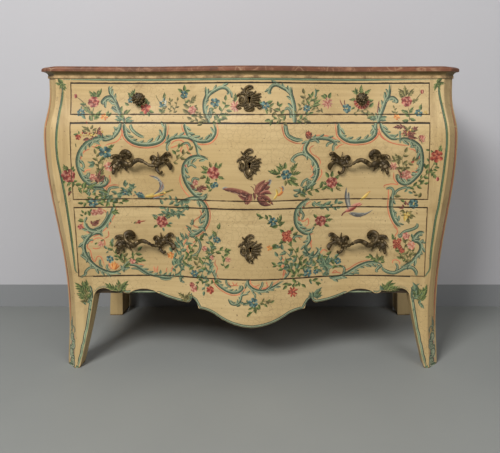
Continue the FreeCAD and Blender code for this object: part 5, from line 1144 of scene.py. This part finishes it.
# colour: foot and tip of each single leaf
LEAVES = {
    "blue": [
        (-242, 749, -252, 764), (-241, 749, -238, 776), (-240, 749, -231, 764), (-243, 749, -253, 751),
        (-239, 749, -229, 750)],
    "brown": [
        (-418, 672, -411, 695), (-414, 667, -406, 685), (-442, 663, -458, 657), (-419, 540, -426, 568),
        (-418, 541, -413, 575), (-416, 540, -402, 561), (-422, 539, -433, 552), (-497, 520, -504, 501),
        (420, 695, 392, 692), (423, 692, 414, 699), (425, 686, 420, 695), (429, 667, 418, 686),
        (431, 667, 460, 662), (431, 672, 457, 674), (433, 674, 461, 695), (-148, 518, -114, 529),
        (-148, 521, -126, 536), (-151, 523, -168, 538), (160, 660, 154, 683), (163, 660, 169, 680),
        (163, 666, 160, 686), (-446, 415, -431, 433), (-442, 415, -427, 423), (-446, 419, -448, 431),
        (-437, 421, -425, 433), (432, 475, 431, 488), (436, 475, 442, 486), (426, 467, 422, 477),
        (428, 469, 414, 466), (-65, 170, -64, 171), (-50, 177, -48, 179), (-41, 153, -38, 152)],
    "leaf": [
        (-431, 775, -444, 793), (-426, 775, -410, 800), (-426, 774, -431, 792), (-451, 757, -468, 757),
        (-442, 734, -462, 751), (-440, 729, -446, 751), (-431, 720, -437, 739), (-428, 716, -409, 740),
        (-435, 710, -441, 726), (-428, 713, -414, 726), (-398, 723, -383, 733), (-395, 726, -391, 738),
        (-357, 733, -354, 751), (-349, 726, -340, 741), (-352, 716, -356, 733), (-346, 729, -331, 742),
        (-336, 753, -348, 761), (-328, 772, -340, 789), (-333, 776, -320, 799), (-295, 753, -315, 751),
        (-288, 751, -286, 771), (-282, 753, -292, 774), (-281, 739, -266, 733), (-284, 734, -280, 721),
        (-294, 734, -307, 733), (-297, 729, -293, 723), (-243, 734, -253, 744), (-240, 734, -235, 742),
        (-239, 769, -236, 789), (-180, 790, -180, 809), (-177, 788, -163, 793), (-185, 787, -199, 798),
        (-62, 739, -46, 736), (-69, 730, -49, 726), (-75, 720, -58, 715), (-88, 714, -96, 725),
        (-38, 763, -38, 786), (-38, 762, -46, 766), (46, 757, 63, 765), (51, 745, 67, 759),
        (46, 747, 49, 727), (36, 755, 24, 762), (174, 761, 186, 777), (174, 756, 194, 769),
        (171, 751, 194, 757), (179, 787, 191, 794), (208, 771, 194, 779), (211, 773, 201, 784),
        (218, 771, 223, 788), (291, 769, 272, 768), (295, 781, 291, 803), (305, 785, 308, 810),
        (316, 783, 334, 797), (325, 766, 341, 768), (289, 747, 279, 741), (329, 747, 340, 761),
        (298, 785, 279, 793), (436, 731, 414, 740), (438, 731, 450, 749), (436, 721, 425, 731),
        (439, 717, 455, 712), (435, 712, 417, 711), (468, 739, 471, 756), (456, 731, 447, 727),
        (-469, 674, -483, 674), (-467, 674, -469, 683), (-407, 633, -429, 638), (-409, 635, -418, 642),
        (-392, 634, -374, 646), (-389, 632, -380, 630), (-403, 612, -414, 600), (-396, 612, -392, 605),
        (-506, 572, -513, 592), (-504, 573, -505, 587), (-494, 573, -485, 586), (-491, 571, -481, 578),
        (-511, 546, -518, 536), (-495, 543, -507, 528), (-492, 543, -477, 545), (-495, 527, -501, 513),
        (518, 626, 522, 646), (521, 625, 526, 635), (503, 623, 495, 631), (492, 630, 481, 631),
        (508, 601, 513, 587), (509, 599, 502, 589), (506, 583, 520, 581), (503, 578, 515, 573),
        (499, 580, 493, 569), (497, 569, 516, 548), (490, 592, 481, 578), (490, 599, 485, 608),
        (486, 580, 479, 594), (-93, 583, -90, 599), (-87, 581, -73, 598), (-113, 577, -134, 588),
        (-114, 571, -135, 571), (-87, 560, -67, 553), (-108, 554, -123, 539), (-90, 557, -90, 546),
        (-323, 425, -332, 420), (-264, 415, -276, 407), (-236, 440, -223, 449), (-239, 418, -224, 413),
        (-266, 433, -275, 439), (-216, 361, -229, 348), (85, 569, 49, 577), (88, 575, 71, 590),
        (91, 578, 81, 598), (97, 580, 97, 599), (111, 574, 131, 597), (111, 566, 140, 571),
        (108, 557, 131, 549), (102, 551, 114, 532), (108, 550, 135, 532), (85, 560, 71, 558),
        (216, 553, 207, 569), (225, 554, 227, 572), (235, 549, 249, 562), (237, 536, 258, 528),
        (213, 535, 195, 543), (222, 527, 228, 512), (210, 529, 196, 519), (205, 441, 223, 447),
        (208, 431, 230, 434), (205, 422, 220, 413), (187, 423, 175, 418), (187, 440, 175, 451),
        (76, 429, 85, 455), (70, 423, 53, 420), (79, 423, 96, 434), (59, 444, 50, 453),
        (93, 398, 81, 411), (111, 403, 118, 418), (117, 394, 131, 402), (108, 376, 114, 361),
        (93, 380, 79, 369), (117, 382, 128, 372), (60, 356, 76, 357), (60, 360, 73, 369),
        (236, 305, 224, 318), (248, 298, 260, 292), (239, 299, 230, 287), (-466, 452, -472, 462),
        (-468, 445, -477, 449), (-451, 444, -455, 460), (-449, 454, -444, 465), (-468, 429, -484, 431),
        (-469, 431, -480, 436), (-464, 447, -459, 458), (-391, 450, -371, 460), (-387, 452, -370, 450),
        (-382, 459, -378, 466), (-442, 360, -434, 366), (-425, 371, -416, 375), (-379, 314, -390, 317),
        (-375, 316, -383, 326), (-328, 311, -313, 306), (-331, 313, -317, 318), (404, 372, 397, 393),
        (406, 370, 408, 381), (425, 330, 417, 335), (427, 332, 435, 334), (412, 351, 408, 344),
        (368, 306, 380, 309), (366, 309, 372, 328), (361, 308, 359, 328), (359, 308, 343, 321),
        (359, 306, 349, 317), (370, 309, 378, 315), (-481, 219, -504, 250), (-479, 223, -496, 223),
        (-478, 227, -482, 255), (-474, 226, -472, 259), (-471, 219, -462, 240), (-475, 205, -500, 218),
        (-475, 202, -495, 206), (-471, 201, -457, 222), (-478, 212, -488, 234), (-384, 216, -420, 246),
        (-383, 218, -404, 235), (-384, 218, -384, 256), (-381, 220, -354, 251), (-379, 216, -360, 234),
        (-381, 214, -370, 223), (-383, 216, -392, 238), (-167, 277, -176, 280), (-154, 278, -143, 282),
        (-141, 298, -150, 301), (-136, 291, -150, 290), (13, 186, 27, 182), (3, 186, -8, 181),
        (11, 190, 13, 168), (178, 208, 201, 222), (176, 208, 187, 222), (380, 223, 373, 245),
        (382, 224, 389, 248), (383, 224, 404, 255), (387, 224, 412, 246), (389, 223, 426, 234),
        (387, 221, 433, 229), (383, 220, 403, 221), (479, 199, 463, 243), (480, 199, 475, 236),
        (481, 199, 499, 245), (482, 200, 496, 225), (482, 196, 498, 207), (478, 196, 466, 217),
        (480, 203, 487, 229)],
    "olive": [
        (-165, 757, -146, 781), (-166, 746, -183, 754), (-169, 733, -185, 743), (-154, 746, -144, 754),
        (426, 776, 407, 799), (429, 778, 425, 808), (436, 776, 450, 799), (423, 773, 411, 784),
        (445, 761, 464, 771), (-440, 686, -461, 696), (-438, 688, -432, 700), (-449, 674, -460, 686),
        (-438, 681, -449, 686), (-432, 683, -421, 690), (-418, 549, -419, 584), (-417, 547, -405, 575),
        (434, 683, 420, 699), (438, 683, 461, 686), (434, 686, 441, 697), (409, 603, 398, 621),
        (414, 603, 400, 602), (436, 594, 448, 591), (466, 498, 472, 512), (400, 500, 418, 500),
        (-104, 583, -110, 600), (-121, 560, -138, 553), (114, 560, 122, 539), (114, 571, 122, 587),
        (96, 549, 96, 533), (237, 529, 252, 515), (430, 450, 424, 464), (432, 452, 438, 460),
        (434, 450, 452, 458), (436, 448, 461, 440), (435, 443, 443, 420), (433, 443, 433, 431),
        (430, 445, 420, 445), (437, 435, 439, 424), (443, 439, 453, 437), (427, 458, 416, 456),
        (359, 313, 357, 334), (370, 311, 376, 326), (-473, 191, -478, 219), (-472, 191, -490, 195),
        (-471, 201, -481, 241), (-384, 216, -377, 245), (-383, 214, -398, 229), (-183, 199, -212, 218),
        (-181, 198, -199, 206), (-181, 199, -175, 224), (-180, 197, -188, 216), (-177, 199, -166, 214),
        (-183, 197, -203, 197), (385, 223, 397, 246), (386, 222, 417, 226), (382, 222, 380, 240),
        (481, 199, 482, 229), (479, 196, 470, 203)],
    "pink": [
        (469, 651, 463, 672), (472, 651, 478, 672)],
    "red": [
        (-450, 709, -446, 702), (441, 594, 452, 601)],
    "teal": [
        (-460, 729, -451, 715), (-464, 741, -465, 751), (-355, 711, -374, 715), (-345, 713, -326, 720),
        (-345, 708, -321, 711), (-351, 713, -365, 721), (349, 717, 328, 712), (349, 716, 324, 721),
        (359, 717, 377, 721), (357, 712, 375, 711), (-414, 663, -414, 681), (-409, 663, -405, 676),
        (-430, 591, -449, 598), (-430, 589, -446, 584), (-430, 589, -437, 600), (-444, 512, -449, 500),
        (-448, 514, -455, 508), (-430, 521, -440, 510), (-422, 514, -406, 509), (-413, 512, -413, 500),
        (-404, 509, -395, 497), (-395, 502, -405, 493), (-349, 525, -351, 546), (-347, 530, -342, 539),
        (-352, 516, -365, 516), (-350, 508, -368, 502), (-347, 508, -339, 499), (-343, 518, -322, 525),
        (-345, 515, -329, 514), (-354, 520, -363, 525), (433, 524, 449, 522), (438, 514, 451, 510),
        (435, 521, 427, 512), (-352, 528, -348, 546), (-340, 520, -318, 528), (-343, 514, -332, 502),
        (-361, 512, -373, 494), (-334, 528, -322, 535), (-326, 514, -319, 505), (-239, 443, -226, 455),
        (-249, 409, -246, 397), (-262, 439, -281, 445), (-233, 421, -220, 422), (-204, 349, -216, 373),
        (-198, 362, -213, 386), (-185, 375, -200, 398), (-208, 319, -221, 299), (-211, 312, -224, 324),
        (-397, 361, -390, 379), (-395, 352, -399, 370), (-408, 347, -417, 357), (-408, 345, -400, 342),
        (-406, 340, -413, 334), (-264, 270, -261, 284), (-252, 268, -243, 277), (-236, 266, -229, 278),
        (459, 373, 451, 380), (457, 380, 452, 393), (463, 371, 451, 371), (-470, 187, -462, 205),
        (-474, 184, -482, 191), (-384, 214, -387, 238), (-382, 213, -374, 229), (-178, 199, -170, 221),
        (-180, 203, -181, 217), (197, 259, 201, 253), (167, 256, 172, 246), (172, 206, 165, 225),
        (174, 206, 172, 225), (176, 206, 187, 231), (178, 206, 201, 235), (179, 206, 203, 211),
        (172, 208, 161, 213), (378, 223, 368, 238), (379, 222, 374, 232), (479, 189, 493, 171),
        (477, 196, 459, 250), (479, 185, 484, 200), (206, 292, 191, 339), (210, 292, 221, 330),
        (159, 328, 143, 346), (167, 328, 177, 344), (179, 298, 167, 320)],
    "white": [
        (-241, 750, -247, 766), (-240, 750, -233, 769)],
    "yellow": [
        (435, 446, 431, 428), (436, 448, 446, 456), (430, 448, 426, 460)],
}
# kind: radius and middle of each flower
FLOWERS = {
    "blue": [
        (11, -465, 733), (8, -332, 767), (11, -180, 782), (13, -94, 760), (12, 42, 752),
        (10, 155, 744), (13, 267, 744), (11, 462, 732), (17, -399, 624), (9, -351, 510),
        (13, -439, 482), (12, 454, 482), (9, -93, 537), (6, -102, 531), (7, -310, 505), (11, -93, 380),
        (15, 99, 565), (12, 63, 434), (9, 245, 309), (11, -403, 317), (14, 453, 478), (10, 246, 311),
        (11, -161, 278), (14, 7, 200), (12, 160, 280), (8, 182, 282)],
    "brown": [
        (20, -439, 672), (14, -423, 674), (13, 429, 676)],
    "bud": [
        (6, -479, 778), (6, 473, 790), (8, 469, 664), (6, 515, 550), (4, -177, 587), (6, -316, 425)],
    "orange": [
        (10, -402, 721), (9, 403, 721), (8, -230, 325), (8, 53, 358), (11, -230, 328)],
    "pink": [
        (12, -158, 739), (10, -435, 554), (14, 431, 561), (9, -150, 541), (8, -130, 353),
        (7, -109, 328), (10, -438, 454), (11, -423, 456), (9, -340, 309), (11, 436, 386),
        (11, -164, 233)],
    "pinkstar": [
        (15, -38, 749), (15, 213, 759), (12, 395, 584), (9, -63, 324), (10, -425, 362)],
    "pinkwhite": [
        (13, -391, 584)],
    "red": [
        (14, -290, 744), (8, -470, 666), (18, 511, 614), (7, 160, 676), (8, 426, 341), (12, -115, 234)],
    "redcluster": [
        (18, 103, 390), (17, 415, 362)],
    "redlow": [
        (20, 308, 764)],
    "redstar": [
        (15, 117, 227)],
    "rose": [
        (15, -431, 761), (15, 431, 763), (19, -500, 558), (17, -99, 569), (17, -250, 426),
        (16, 225, 540), (16, 196, 431), (8, -478, 413), (8, -169, 244)],
    "salmon": [
        (12, 452, 358)],
    "yellow": [
        (4, -241, 759), (6, 482, 733), (9, 436, 446)],
}
# colour, half width and line of the strokes of the butterfly, the birds, the shells and stems
DABS = [
    ("olive", 1.2, [(-431, 715), (-442, 739), (-459, 761), (-478, 777)]),
    ("leaf", 1.2, [(-432, 710), (-434, 729), (-430, 749)]),
    ("leaf", 1.2, [(-242, 734), (-242, 743), (-241, 752)]),
    ("olive", 1, [(-252, 762), (-259, 774), (-262, 782)]),
    ("teal", 2.6, [(178, 774), (181, 787), (179, 799)]),
    ("olive", 1, [(240, 784), (243, 778)]),
    ("brown", 1.4, [(260, 746), (252, 756), (247, 769)]),
    ("brown", 1.4, [(264, 749), (260, 759), (260, 768)]),
    ("brown", 1.8, [(351, 732), (353, 747), (356, 766)]),
    ("olive", 1.1, [(437, 710), (438, 731), (435, 747)]),
    ("olive", 1.1, [(447, 756), (460, 774), (470, 786)]),
    ("olive", 1.4, [(-478, 649), (-476, 638)]),
    ("olive", 1.2, [(460, 668), (469, 654), (471, 647)]),
    ("olive", 1.2, [(462, 543), (480, 559), (495, 576), (508, 599)]),
    ("brown", 2.2, [(417, 551), (414, 565), (407, 577)]),
    ("blue", 4.6, [(-322, 505), (-309, 503), (-296, 498)]),
    ("yellow", 4.2, [(-300, 498), (-273, 501), (-243, 509), (-215, 517)]),
    ("olive", 1.6, [(-297, 494), (-267, 496), (-237, 506)]),
    ("bluegrey", 3.6, [(-280, 557), (-261, 552), (-248, 536), (-243, 523), (-258, 506)]),
    ("bluegrey", 4.4, [(-254, 541), (-249, 528), (-260, 508)]),
    ("bluegrey", 3.4, [(-245, 528), (-255, 515), (-273, 503)]),
    ("white", 1.2, [(-272, 554), (-256, 544), (-248, 528)]),
    ("yellow", 5, [(-296, 499), (-275, 503), (-255, 507)]),
    ("blue", 4.4, [(-319, 502), (-310, 508), (-299, 503)]),
    ("olive", 1.4, [(-243, 511), (-227, 516), (-213, 517)]),
    ("orange", 2, [(-273, 498), (-255, 502), (-241, 507)]),
    ("brown", 1.3, [(-282, 558), (-261, 554), (-245, 538), (-240, 523)]),
    ("red", 2.2, [(-313, 508), (-308, 510), (-303, 507)]),
    ("brown", 1.8, [(-296, 495), (-276, 496), (-255, 501), (-239, 508)]),
    ("olive", 2.2, [(-255, 506), (-235, 512), (-214, 521)]),
    ("bluegrey", 2, [(-273, 492), (-262, 496), (-253, 496)]),
    ("blue", 3, [(-317, 498), (-305, 497), (-296, 494)]),
    ("brown", 1.2, [(-260, 509), (-249, 522), (-244, 536)]),
    ("brown", 1, [(-322, 503), (-326, 502), (-329, 499)]),
    ("red", 1.6, [(-328, 420), (-311, 426), (-298, 428)]),
    ("brown", 6.5, [(-72, 525), (-38, 522), (5, 512)]),
    ("brown", 6.5, [(-61, 524), (-21, 518), (7, 509)]),
    ("brown", 6.5, [(-38, 518), (-9, 512), (5, 502)]),
    ("brown", 6.5, [(5, 509), (-1, 495), (-8, 482)]),
    ("brown", 6.5, [(8, 512), (-12, 499), (-32, 509)]),
    ("brown", 6.5, [(2, 512), (-9, 495), (-12, 483)]),
    ("brown", 7.5, [(16, 512), (25, 534), (43, 551)]),
    ("brown", 7.5, [(19, 511), (37, 534), (55, 547)]),
    ("brown", 7.5, [(20, 509), (41, 518), (60, 512)]),
    ("brown", 7.5, [(22, 506), (45, 500), (64, 481)]),
    ("brown", 7.5, [(20, 505), (36, 486), (58, 481)]),
    ("brown", 7.5, [(19, 512), (43, 528), (56, 532)]),
    ("brown", 7.5, [(22, 503), (32, 493), (48, 488)]),
    ("rosy", 1.9, [(-67, 525), (-32, 520), (2, 512)]),
    ("rosy", 1.9, [(-32, 513), (-12, 505), (1, 499)]),
    ("rosy", 1.9, [(22, 515), (35, 534), (49, 544)]),
    ("rosy", 1.9, [(26, 509), (48, 505), (59, 488)]),
    ("rosy", 1.9, [(28, 514), (45, 521), (55, 520)]),
    ("rosy", 1.9, [(-7, 486), (-3, 498), (5, 506)]),
    ("brownlight", 1.3, [(-58, 520), (-32, 512), (-9, 503)]),
    ("brownlight", 1.3, [(25, 502), (42, 490), (56, 482)]),
    ("brownlight", 1.3, [(31, 524), (43, 538), (51, 540)]),
    ("bluegrey", 3, [(-74, 525), (-66, 529), (-58, 525)]),
    ("bluegrey", 3, [(51, 544), (57, 551), (52, 534)]),
    ("brown", 1, [(13, 518), (9, 530), (2, 534)]),
    ("brown", 1, [(15, 519), (17, 533), (11, 540)]),
    ("brown", 4, [(11, 517), (14, 505), (12, 495)]),
    ("orange", 2, [(38, 534), (43, 541), (49, 543)]),
    ("orange", 1.8, [(45, 494), (52, 490), (58, 485)]),
    ("orange", 4, [(69, 507), (82, 511), (89, 523), (79, 530)]),
    ("yellow", 3, [(65, 497), (74, 511), (71, 526)]),
    ("bluegrey", 2, [(87, 533), (92, 527), (89, 518)]),
    ("bluegrey", 3.4, [(267, 525), (265, 499), (269, 475), (275, 458)]),
    ("bluegrey", 2.4, [(273, 511), (275, 487), (279, 462)]),
    ("rosy", 7.5, [(263, 455), (280, 463), (295, 474), (308, 481)]),
    ("rose", 4, [(272, 457), (286, 465), (299, 474)]),
    ("bluegrey", 4.2, [(269, 505), (271, 481), (279, 462)]),
    ("bluegrey", 3.6, [(267, 514), (267, 487), (274, 463)]),
    ("white", 1.1, [(269, 511), (270, 487), (276, 468)]),
    ("bluegrey", 5, [(278, 452), (299, 447), (318, 451)]),
    ("white", 1.1, [(283, 450), (303, 446), (324, 452)]),
    ("yellow", 4, [(306, 487), (320, 500), (332, 512)]),
    ("orange", 2.4, [(312, 494), (323, 506), (334, 514)]),
    ("bluegrey", 4, [(274, 450), (298, 443), (321, 448), (342, 460)]),
    ("brown", 2, [(268, 456), (259, 450), (254, 442)]),
    ("rosy", 2.6, [(288, 466), (301, 472), (312, 478)]),
    ("orange", 3, [(-393, 285), (-401, 303)]),
    ("orange", 3, [(-393, 285), (-397, 308)]),
    ("orange", 3, [(-393, 285), (-390, 310)]),
    ("orange", 3, [(-392, 285), (-384, 305)]),
    ("orange", 3, [(-392, 285), (-377, 298)]),
    ("coral", 1.4, [(-279, 276), (-280, 295)]),
    ("coral", 1.4, [(-272, 274), (-268, 297)]),
    ("coral", 1.4, [(-275, 276), (-274, 290)]),
    ("coral", 1.4, [(-231, 278), (-224, 297)]),
    ("coral", 1.4, [(-245, 277), (-242, 291)]),
    ("salmon", 8, [(445, 362), (453, 358), (459, 352)]),
]
POST_LINES = [
    [(-517, 816), (-514, 794), (-516, 769), (-521, 738), (-525, 705), (-528, 672), (-529, 638),
     (-527, 603), (-522, 570), (-517, 533), (-513, 499), (-508, 432), (-505, 386), (-502, 322),
     (-500, 286), (-493, 277)],
    [(522, 816), (518, 800), (520, 780), (528, 741), (535, 704), (538, 672), (538, 638), (535, 603),
     (531, 557), (526, 511), (522, 471), (516, 437), (510, 372), (507, 330), (506, 292), (496, 273),
     (489, 264)],
]

random.seed(31)
front_design = fresh_design()
brush = partial(stroke, front_design)
for row in SCROLLS:
    scroll(front_design, *row)
for points in OUTLINES:
    brush("coral", points, 1.6, 0.14)
for row in SPRIGS:
    sprig(front_design, *row)
for name, ends in LEAVES.items():
    for foot_and_tip in ends:
        leaf(front_design, name, *foot_and_tip)
for kind, places in FLOWERS.items():
    for place in places:
        flower(front_design, kind, *place)
for name, half, points in DABS:
    brush(name, points, half, 0.33, pointed if half > 3 else blunt)

# green lines: down both corners, under the top and along the cut edge of the apron
for points in POST_LINES:
    brush("teal", points, 3.4, 0.18)
    brush("leaf", beside(points, 1.8), 1.3, 0.24)
brush("teal", [(x, 823) for x in range(-512, 516, 32)], 2.8, 0.18)
# the apron's lower edge is felt from below, a little behind its front; then colour, distance from
# the edge, half width and lift of each line along it
edge = []
for x in range(-448, 449, 7):
    inside_apron = wood_y("front_apron", x * MM, 0.235) + 8 * MM
    found = skins["front_apron"].ray_cast(Vector((x * MM, inside_apron, -0.05)), Vector((0, 0, 1)))[0]
    edge.append((x, found.z / MM))
APRON_LINES = [("teal", 3.5, 3.0, 0.18), ("foam", 3.7, 1.0, 0.24), ("dusk", 6.6, 0.8, 0.24)]
for name, away, half, lift in APRON_LINES:
    brush(name, beside(edge, away), half, lift, steps=1)

# on the legs: the green line of the inner edge with its hook of leaves, the coral and brown lines
# of the outer edge, and a ladder of curled leaves up the foot. Rows: colour, half width, lift, line
TOP_HOOK = [(14, 12), (24, -2), (10, -18), (-6, -22)]
INNER_HOOKS = [(236, [(2, -26), (7, -10), (14, 4), (22, 10)]), (232, [(0, -30), (0, -12), (4, 8)]),
               (214, [(2, -22), (9, -12), (16, -10), (18, -16)]), (176, [(1, -14), (7, -6), (12, -10)])]
CURL = [(8, -12), (-3, -11), (-9, -3), (-7, 6), (1, 9), (6, 4), (3, -2), (-1, 0)]
FOOT_CURLS = [("dusk", 2.6, 0.20, CURL), ("teal", 1.9, 0.25, CURL),
              ("white", 0.9, 0.30, [(6, -11), (-3, -10), (-8, -3), (-6, 5), (1, 8)]),
              ("dusk", 1.8, 0.20, [(-6, 5), (-9, 12), (-6, 17), (-1, 14)]),
              ("foam", 1.1, 0.30, [(-6, 6), (-8, 12), (-5, 16)]),
              ("salmon", 1.2, 0.30, [(7, -3), (8, 3), (5, 9)])]
FOOT_TIPS = [[(-14, 100), (-16, 110), (-9, 117), (-1, 112), (-5, 104)],
             [(-6, 106), (-4, 124), (-6, 146)], [(-2, 104), (0, 118), (-1, 132)]]
LEG_STEP, KNEE = 12, 240
for sign, side in ((1, "right"), (-1, "left")):
    skin = skin_of(f"corner_leg_{side}")
    inner, arris = [], []
    for height in range(4, 824, LEG_STEP):
        found = []
        for x in range(420, 600, 2):
            place, normal = skin.ray_cast(Vector((sign * x * MM, -1, height * MM)), INWARD)[:2]
            if place is not None and normal.y < (-0.88 if not found else -0.5):
                found.append(x)
        if height < KNEE:
            inner.append((sign * (found[0] + 4.2), height))
        arris.append((sign * (found[-1] - 4.5), height))
    foot, shin = arris[:9], arris[9:]
    brush("teal", inner, 3.8, 0.18, steps=1, flip=sign < 0)
    brush("foam", beside(inner, -0.6 * sign), 1.2, 0.24, steps=1)
    brush("dusk", beside(inner, -3.6 * sign), 0.8, 0.24, steps=1)
    knee_x = abs(inner[-1][0])
    for z, rows in INNER_HOOKS:
        brush("dusk", [(sign * (knee_x + a), z + b) for a, b in rows], 1.9, 0.22)
        brush("teal", [(sign * (knee_x + a + 1.2), z + b) for a, b in rows], 1.5, 0.27)
    brush("coral", shin, 2.0, 0.16, steps=1)
    brush("brown", beside(shin, 3.4 * sign), 0.9, 0.16, steps=1)
    for a, b in TOP_HOOK:
        leaf(front_design, "leaf", sign * 512, 814, sign * (512 + a), 814 + b, 0.3)
    brush("foam", [(sign * (abs(x) - 10), z) for x, z in foot], 10, 0.14, steps=2, flip=sign > 0)
    for i, (z, size) in enumerate(((14, 1.15), (40, 1.1), (64, 1.0), (86, 0.95))):
        x, hand = abs(arris[round(z / LEG_STEP)][0]) - 11, 1 if i % 2 else -1
        for name, half, lift, rows in FOOT_CURLS:
            line = [(sign * (x - hand * a * size), z + b * size) for a, b in rows]
            brush(name, line, half, lift, steps=3)
    for rows in FOOT_TIPS:
        line = [(sign * (abs(shin[0][0]) + a - 4), z) for a, z in rows]
        brush("dusk", line, 2.2, 0.22)
        brush("foam", beside(line, 0.6), 0.9, 0.28)
    brush("teal", [(sign * (abs(inner[0][0]) - 3), 4), (sign * (abs(foot[0][0]) + 4), 4)], 4.5, 0.26,
          flip=sign > 0)


def lay(design, node, areas, ahead, body, turn=Matrix.Identity(4)):
    """Part of a design inside areas, from corner to corner, laid on the face of one board."""
    skin, whole, film = skin_of(node), bmesh.new(), bpy.data.meshes.new("film")
    for sheet in design:
        part = sheet.copy()
        outside = []
        for face in part.faces:
            middle = face.calc_center_median()
            if not any(all(a <= c <= b for a, c, b in zip(low, middle, high)) for low, high in areas):
                outside.append(face)
        bmesh.ops.delete(part, context="FACES", geom=outside)
        bmesh.ops.transform(part, matrix=turn, verts=list(part.verts))
        thickness, missed = part.verts.layers.float["lift"], []
        for vert in part.verts:
            hit = skin.ray_cast(vert.co - ahead, ahead)[0]
            if hit is None:
                missed.append(vert)
            else:
                vert.co = hit - ahead * vert[thickness]
        bmesh.ops.delete(part, context="VERTS", geom=missed)
        part.to_mesh(film)
        part.free()
        whole.from_mesh(film)
    bmesh.ops.recalc_face_normals(whole, faces=list(whole.faces))
    bmesh.ops.reverse_faces(whole, faces=[face for face in whole.faces if face.normal.dot(ahead) > 0])
    made = mesh_object(f"{node}_ornament", whole, brush_paint)
    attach(made, body)


def cut(design, places, normal):
    """Cut every stroke along lines, so that it parts where two boards meet."""
    for sheet in design:
        for place in places:
            bmesh.ops.bisect_plane(sheet, geom=[*sheet.verts, *sheet.edges, *sheet.faces],
                                   plane_co=Vector(normal) * place * MM, plane_no=normal)


# board, its lowest and highest paint, its body; each board keeps a bare rim of 0.3 mm
BOARDS = [("top_drawer_front", 728.8, 813.2, "top_drawer"),
          ("middle_drawer_front", 492.8, 704.2, "middle_drawer"),
          ("bottom_drawer_front", 267.8, 468.2, "bottom_drawer"),
          ("front_top_rail", 815.3, 833.7, "case"), ("upper_drawer_rail", 706.3, 726.7, "case"),
          ("lower_drawer_rail", 470.3, 490.7, "case"), ("front_apron", 0.0, 265.7, "case")]
# half widths of the paint on the drawers, of the opening between the legs, and between the knees
DRAWER_PAINT, RAIL_PAINT, APRON_PAINT = 491.2, 493.3, 452.3
cut(front_design, [level for board in BOARDS for level in board[1:3]], (0, 0, 1))
cut(front_design, (-RAIL_PAINT, -DRAWER_PAINT, -APRON_PAINT, APRON_PAINT, DRAWER_PAINT, RAIL_PAINT),
    (1, 0, 0))
for node, low, high, body in BOARDS:
    half = APRON_PAINT if node == "front_apron" else RAIL_PAINT if body == "case" else DRAWER_PAINT
    lay(front_design, node, [((-half * MM, -1, low * MM), (half * MM, 1, high * MM))], INWARD, body)
APRON_TOP, LEG_OUTSIDE = 0.2657, 0.6
for side, sign in (("left", -1), ("right", 1)):
    areas = []
    for near, top in ((APRON_PAINT * MM, APRON_TOP), (RAIL_PAINT * MM, CASE_TOP)):
        low_x, high_x = sorted((sign * near, sign * LEG_OUTSIDE))
        areas.append(((low_x, -1, 0), (high_x, 1, top)))
    lay(front_design, f"corner_leg_{side}", areas, INWARD, "case")

# ---------------------------------------------------------------------------------------------
# Ornament of the sides: a cartouche of scrolls with a bouquet, drawn across the depth of the
# chest and the same on both sides, in the same tempera as the front.
SIDE_MIDDLE = 20
# rear half of the cartouche, which is mirrored to the front
SIDE_SCROLLS = [
    (6, -1, 1, [(20, 300), (-40, 300), (-96, 330), (-118, 390), (-96, 440), (-60, 430), (-62, 400)]),
    (6, 1, -1, [(-112, 440), (-132, 510), (-118, 590), (-90, 640), (-104, 700), (-70, 750), (-20, 740),
                (-26, 710)]),
    (5, 0, 1, [(20, 745), (-4, 760), (-14, 784), (6, 792), (14, 776)]),
    (4, 0, 1, [(-60, 640), (-40, 660), (-48, 690), (-70, 680)]),
]
SIDE_SPRIGS = [
    ("leaf", 22, [(20, 400), (10, 450), (-20, 500), (-60, 530)]),
    ("leaf", 22, [(20, 400), (36, 460), (70, 500), (104, 528)]),
    ("olive", 20, [(20, 410), (16, 480), (24, 560), (10, 640)]),
    ("olive", 20, [(20, 420), (-20, 460), (-66, 460)]),
    ("olive", 20, [(20, 420), (60, 455), (108, 462)]),
    ("teal", 20, [(24, 560), (50, 600), (80, 612)]),
    ("teal", 20, [(22, 560), (-14, 596), (-46, 604)]),
    ("teal", 16, [(20, 300), (0, 250), (-40, 222)]),
    ("teal", 16, [(20, 300), (44, 252), (84, 226)]),
]
SIDE_FLOWERS = [
    ("rose", 34, 20, 510), ("blue", 22, -36, 470), ("pink", 26, 70, 478), ("orange", 16, -14, 570),
    ("blue", 18, 54, 572), ("redstar", 20, 12, 640), ("rose", 20, 20, 420), ("pinkstar", 18, -62, 536),
    ("pinkwhite", 18, 106, 536), ("blue", 12, -40, 232), ("blue", 12, 82, 236), ("rose", 18, 20, 770),
]
side_design = fresh_design()
for width, outlined, leafed, points in SIDE_SCROLLS:
    for hand in (1, -1):
        scroll(side_design, width, hand * outlined, hand * leafed,
               [(SIDE_MIDDLE + hand * (x - SIDE_MIDDLE), z) for x, z in points])
for row in SIDE_SPRIGS:
    sprig(side_design, *row)
for kind, radius, x, z in SIDE_FLOWERS:
    for i in range(6):
        turn = 1.05 * i + 0.4
        leaf(side_design, "leaf", *off(x, z, 0.6 * radius, turn), *off(x, z, 1.7 * radius, turn))
    flower(side_design, kind, radius, x, z)
low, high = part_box("side_panel_right")
BARE_RIM = 0.004
areas = [((low.y + BARE_RIM, -1, low.z + BARE_RIM), (high.y - BARE_RIM, 1, high.z - BARE_RIM))]
for side, ahead in (("right", (-1, 0, 0)), ("left", (1, 0, 0))):
    lay(side_design, f"side_panel_{side}", areas, Vector(ahead), "case",
        Matrix.Rotation(math.pi / 2, 4, "Z"))
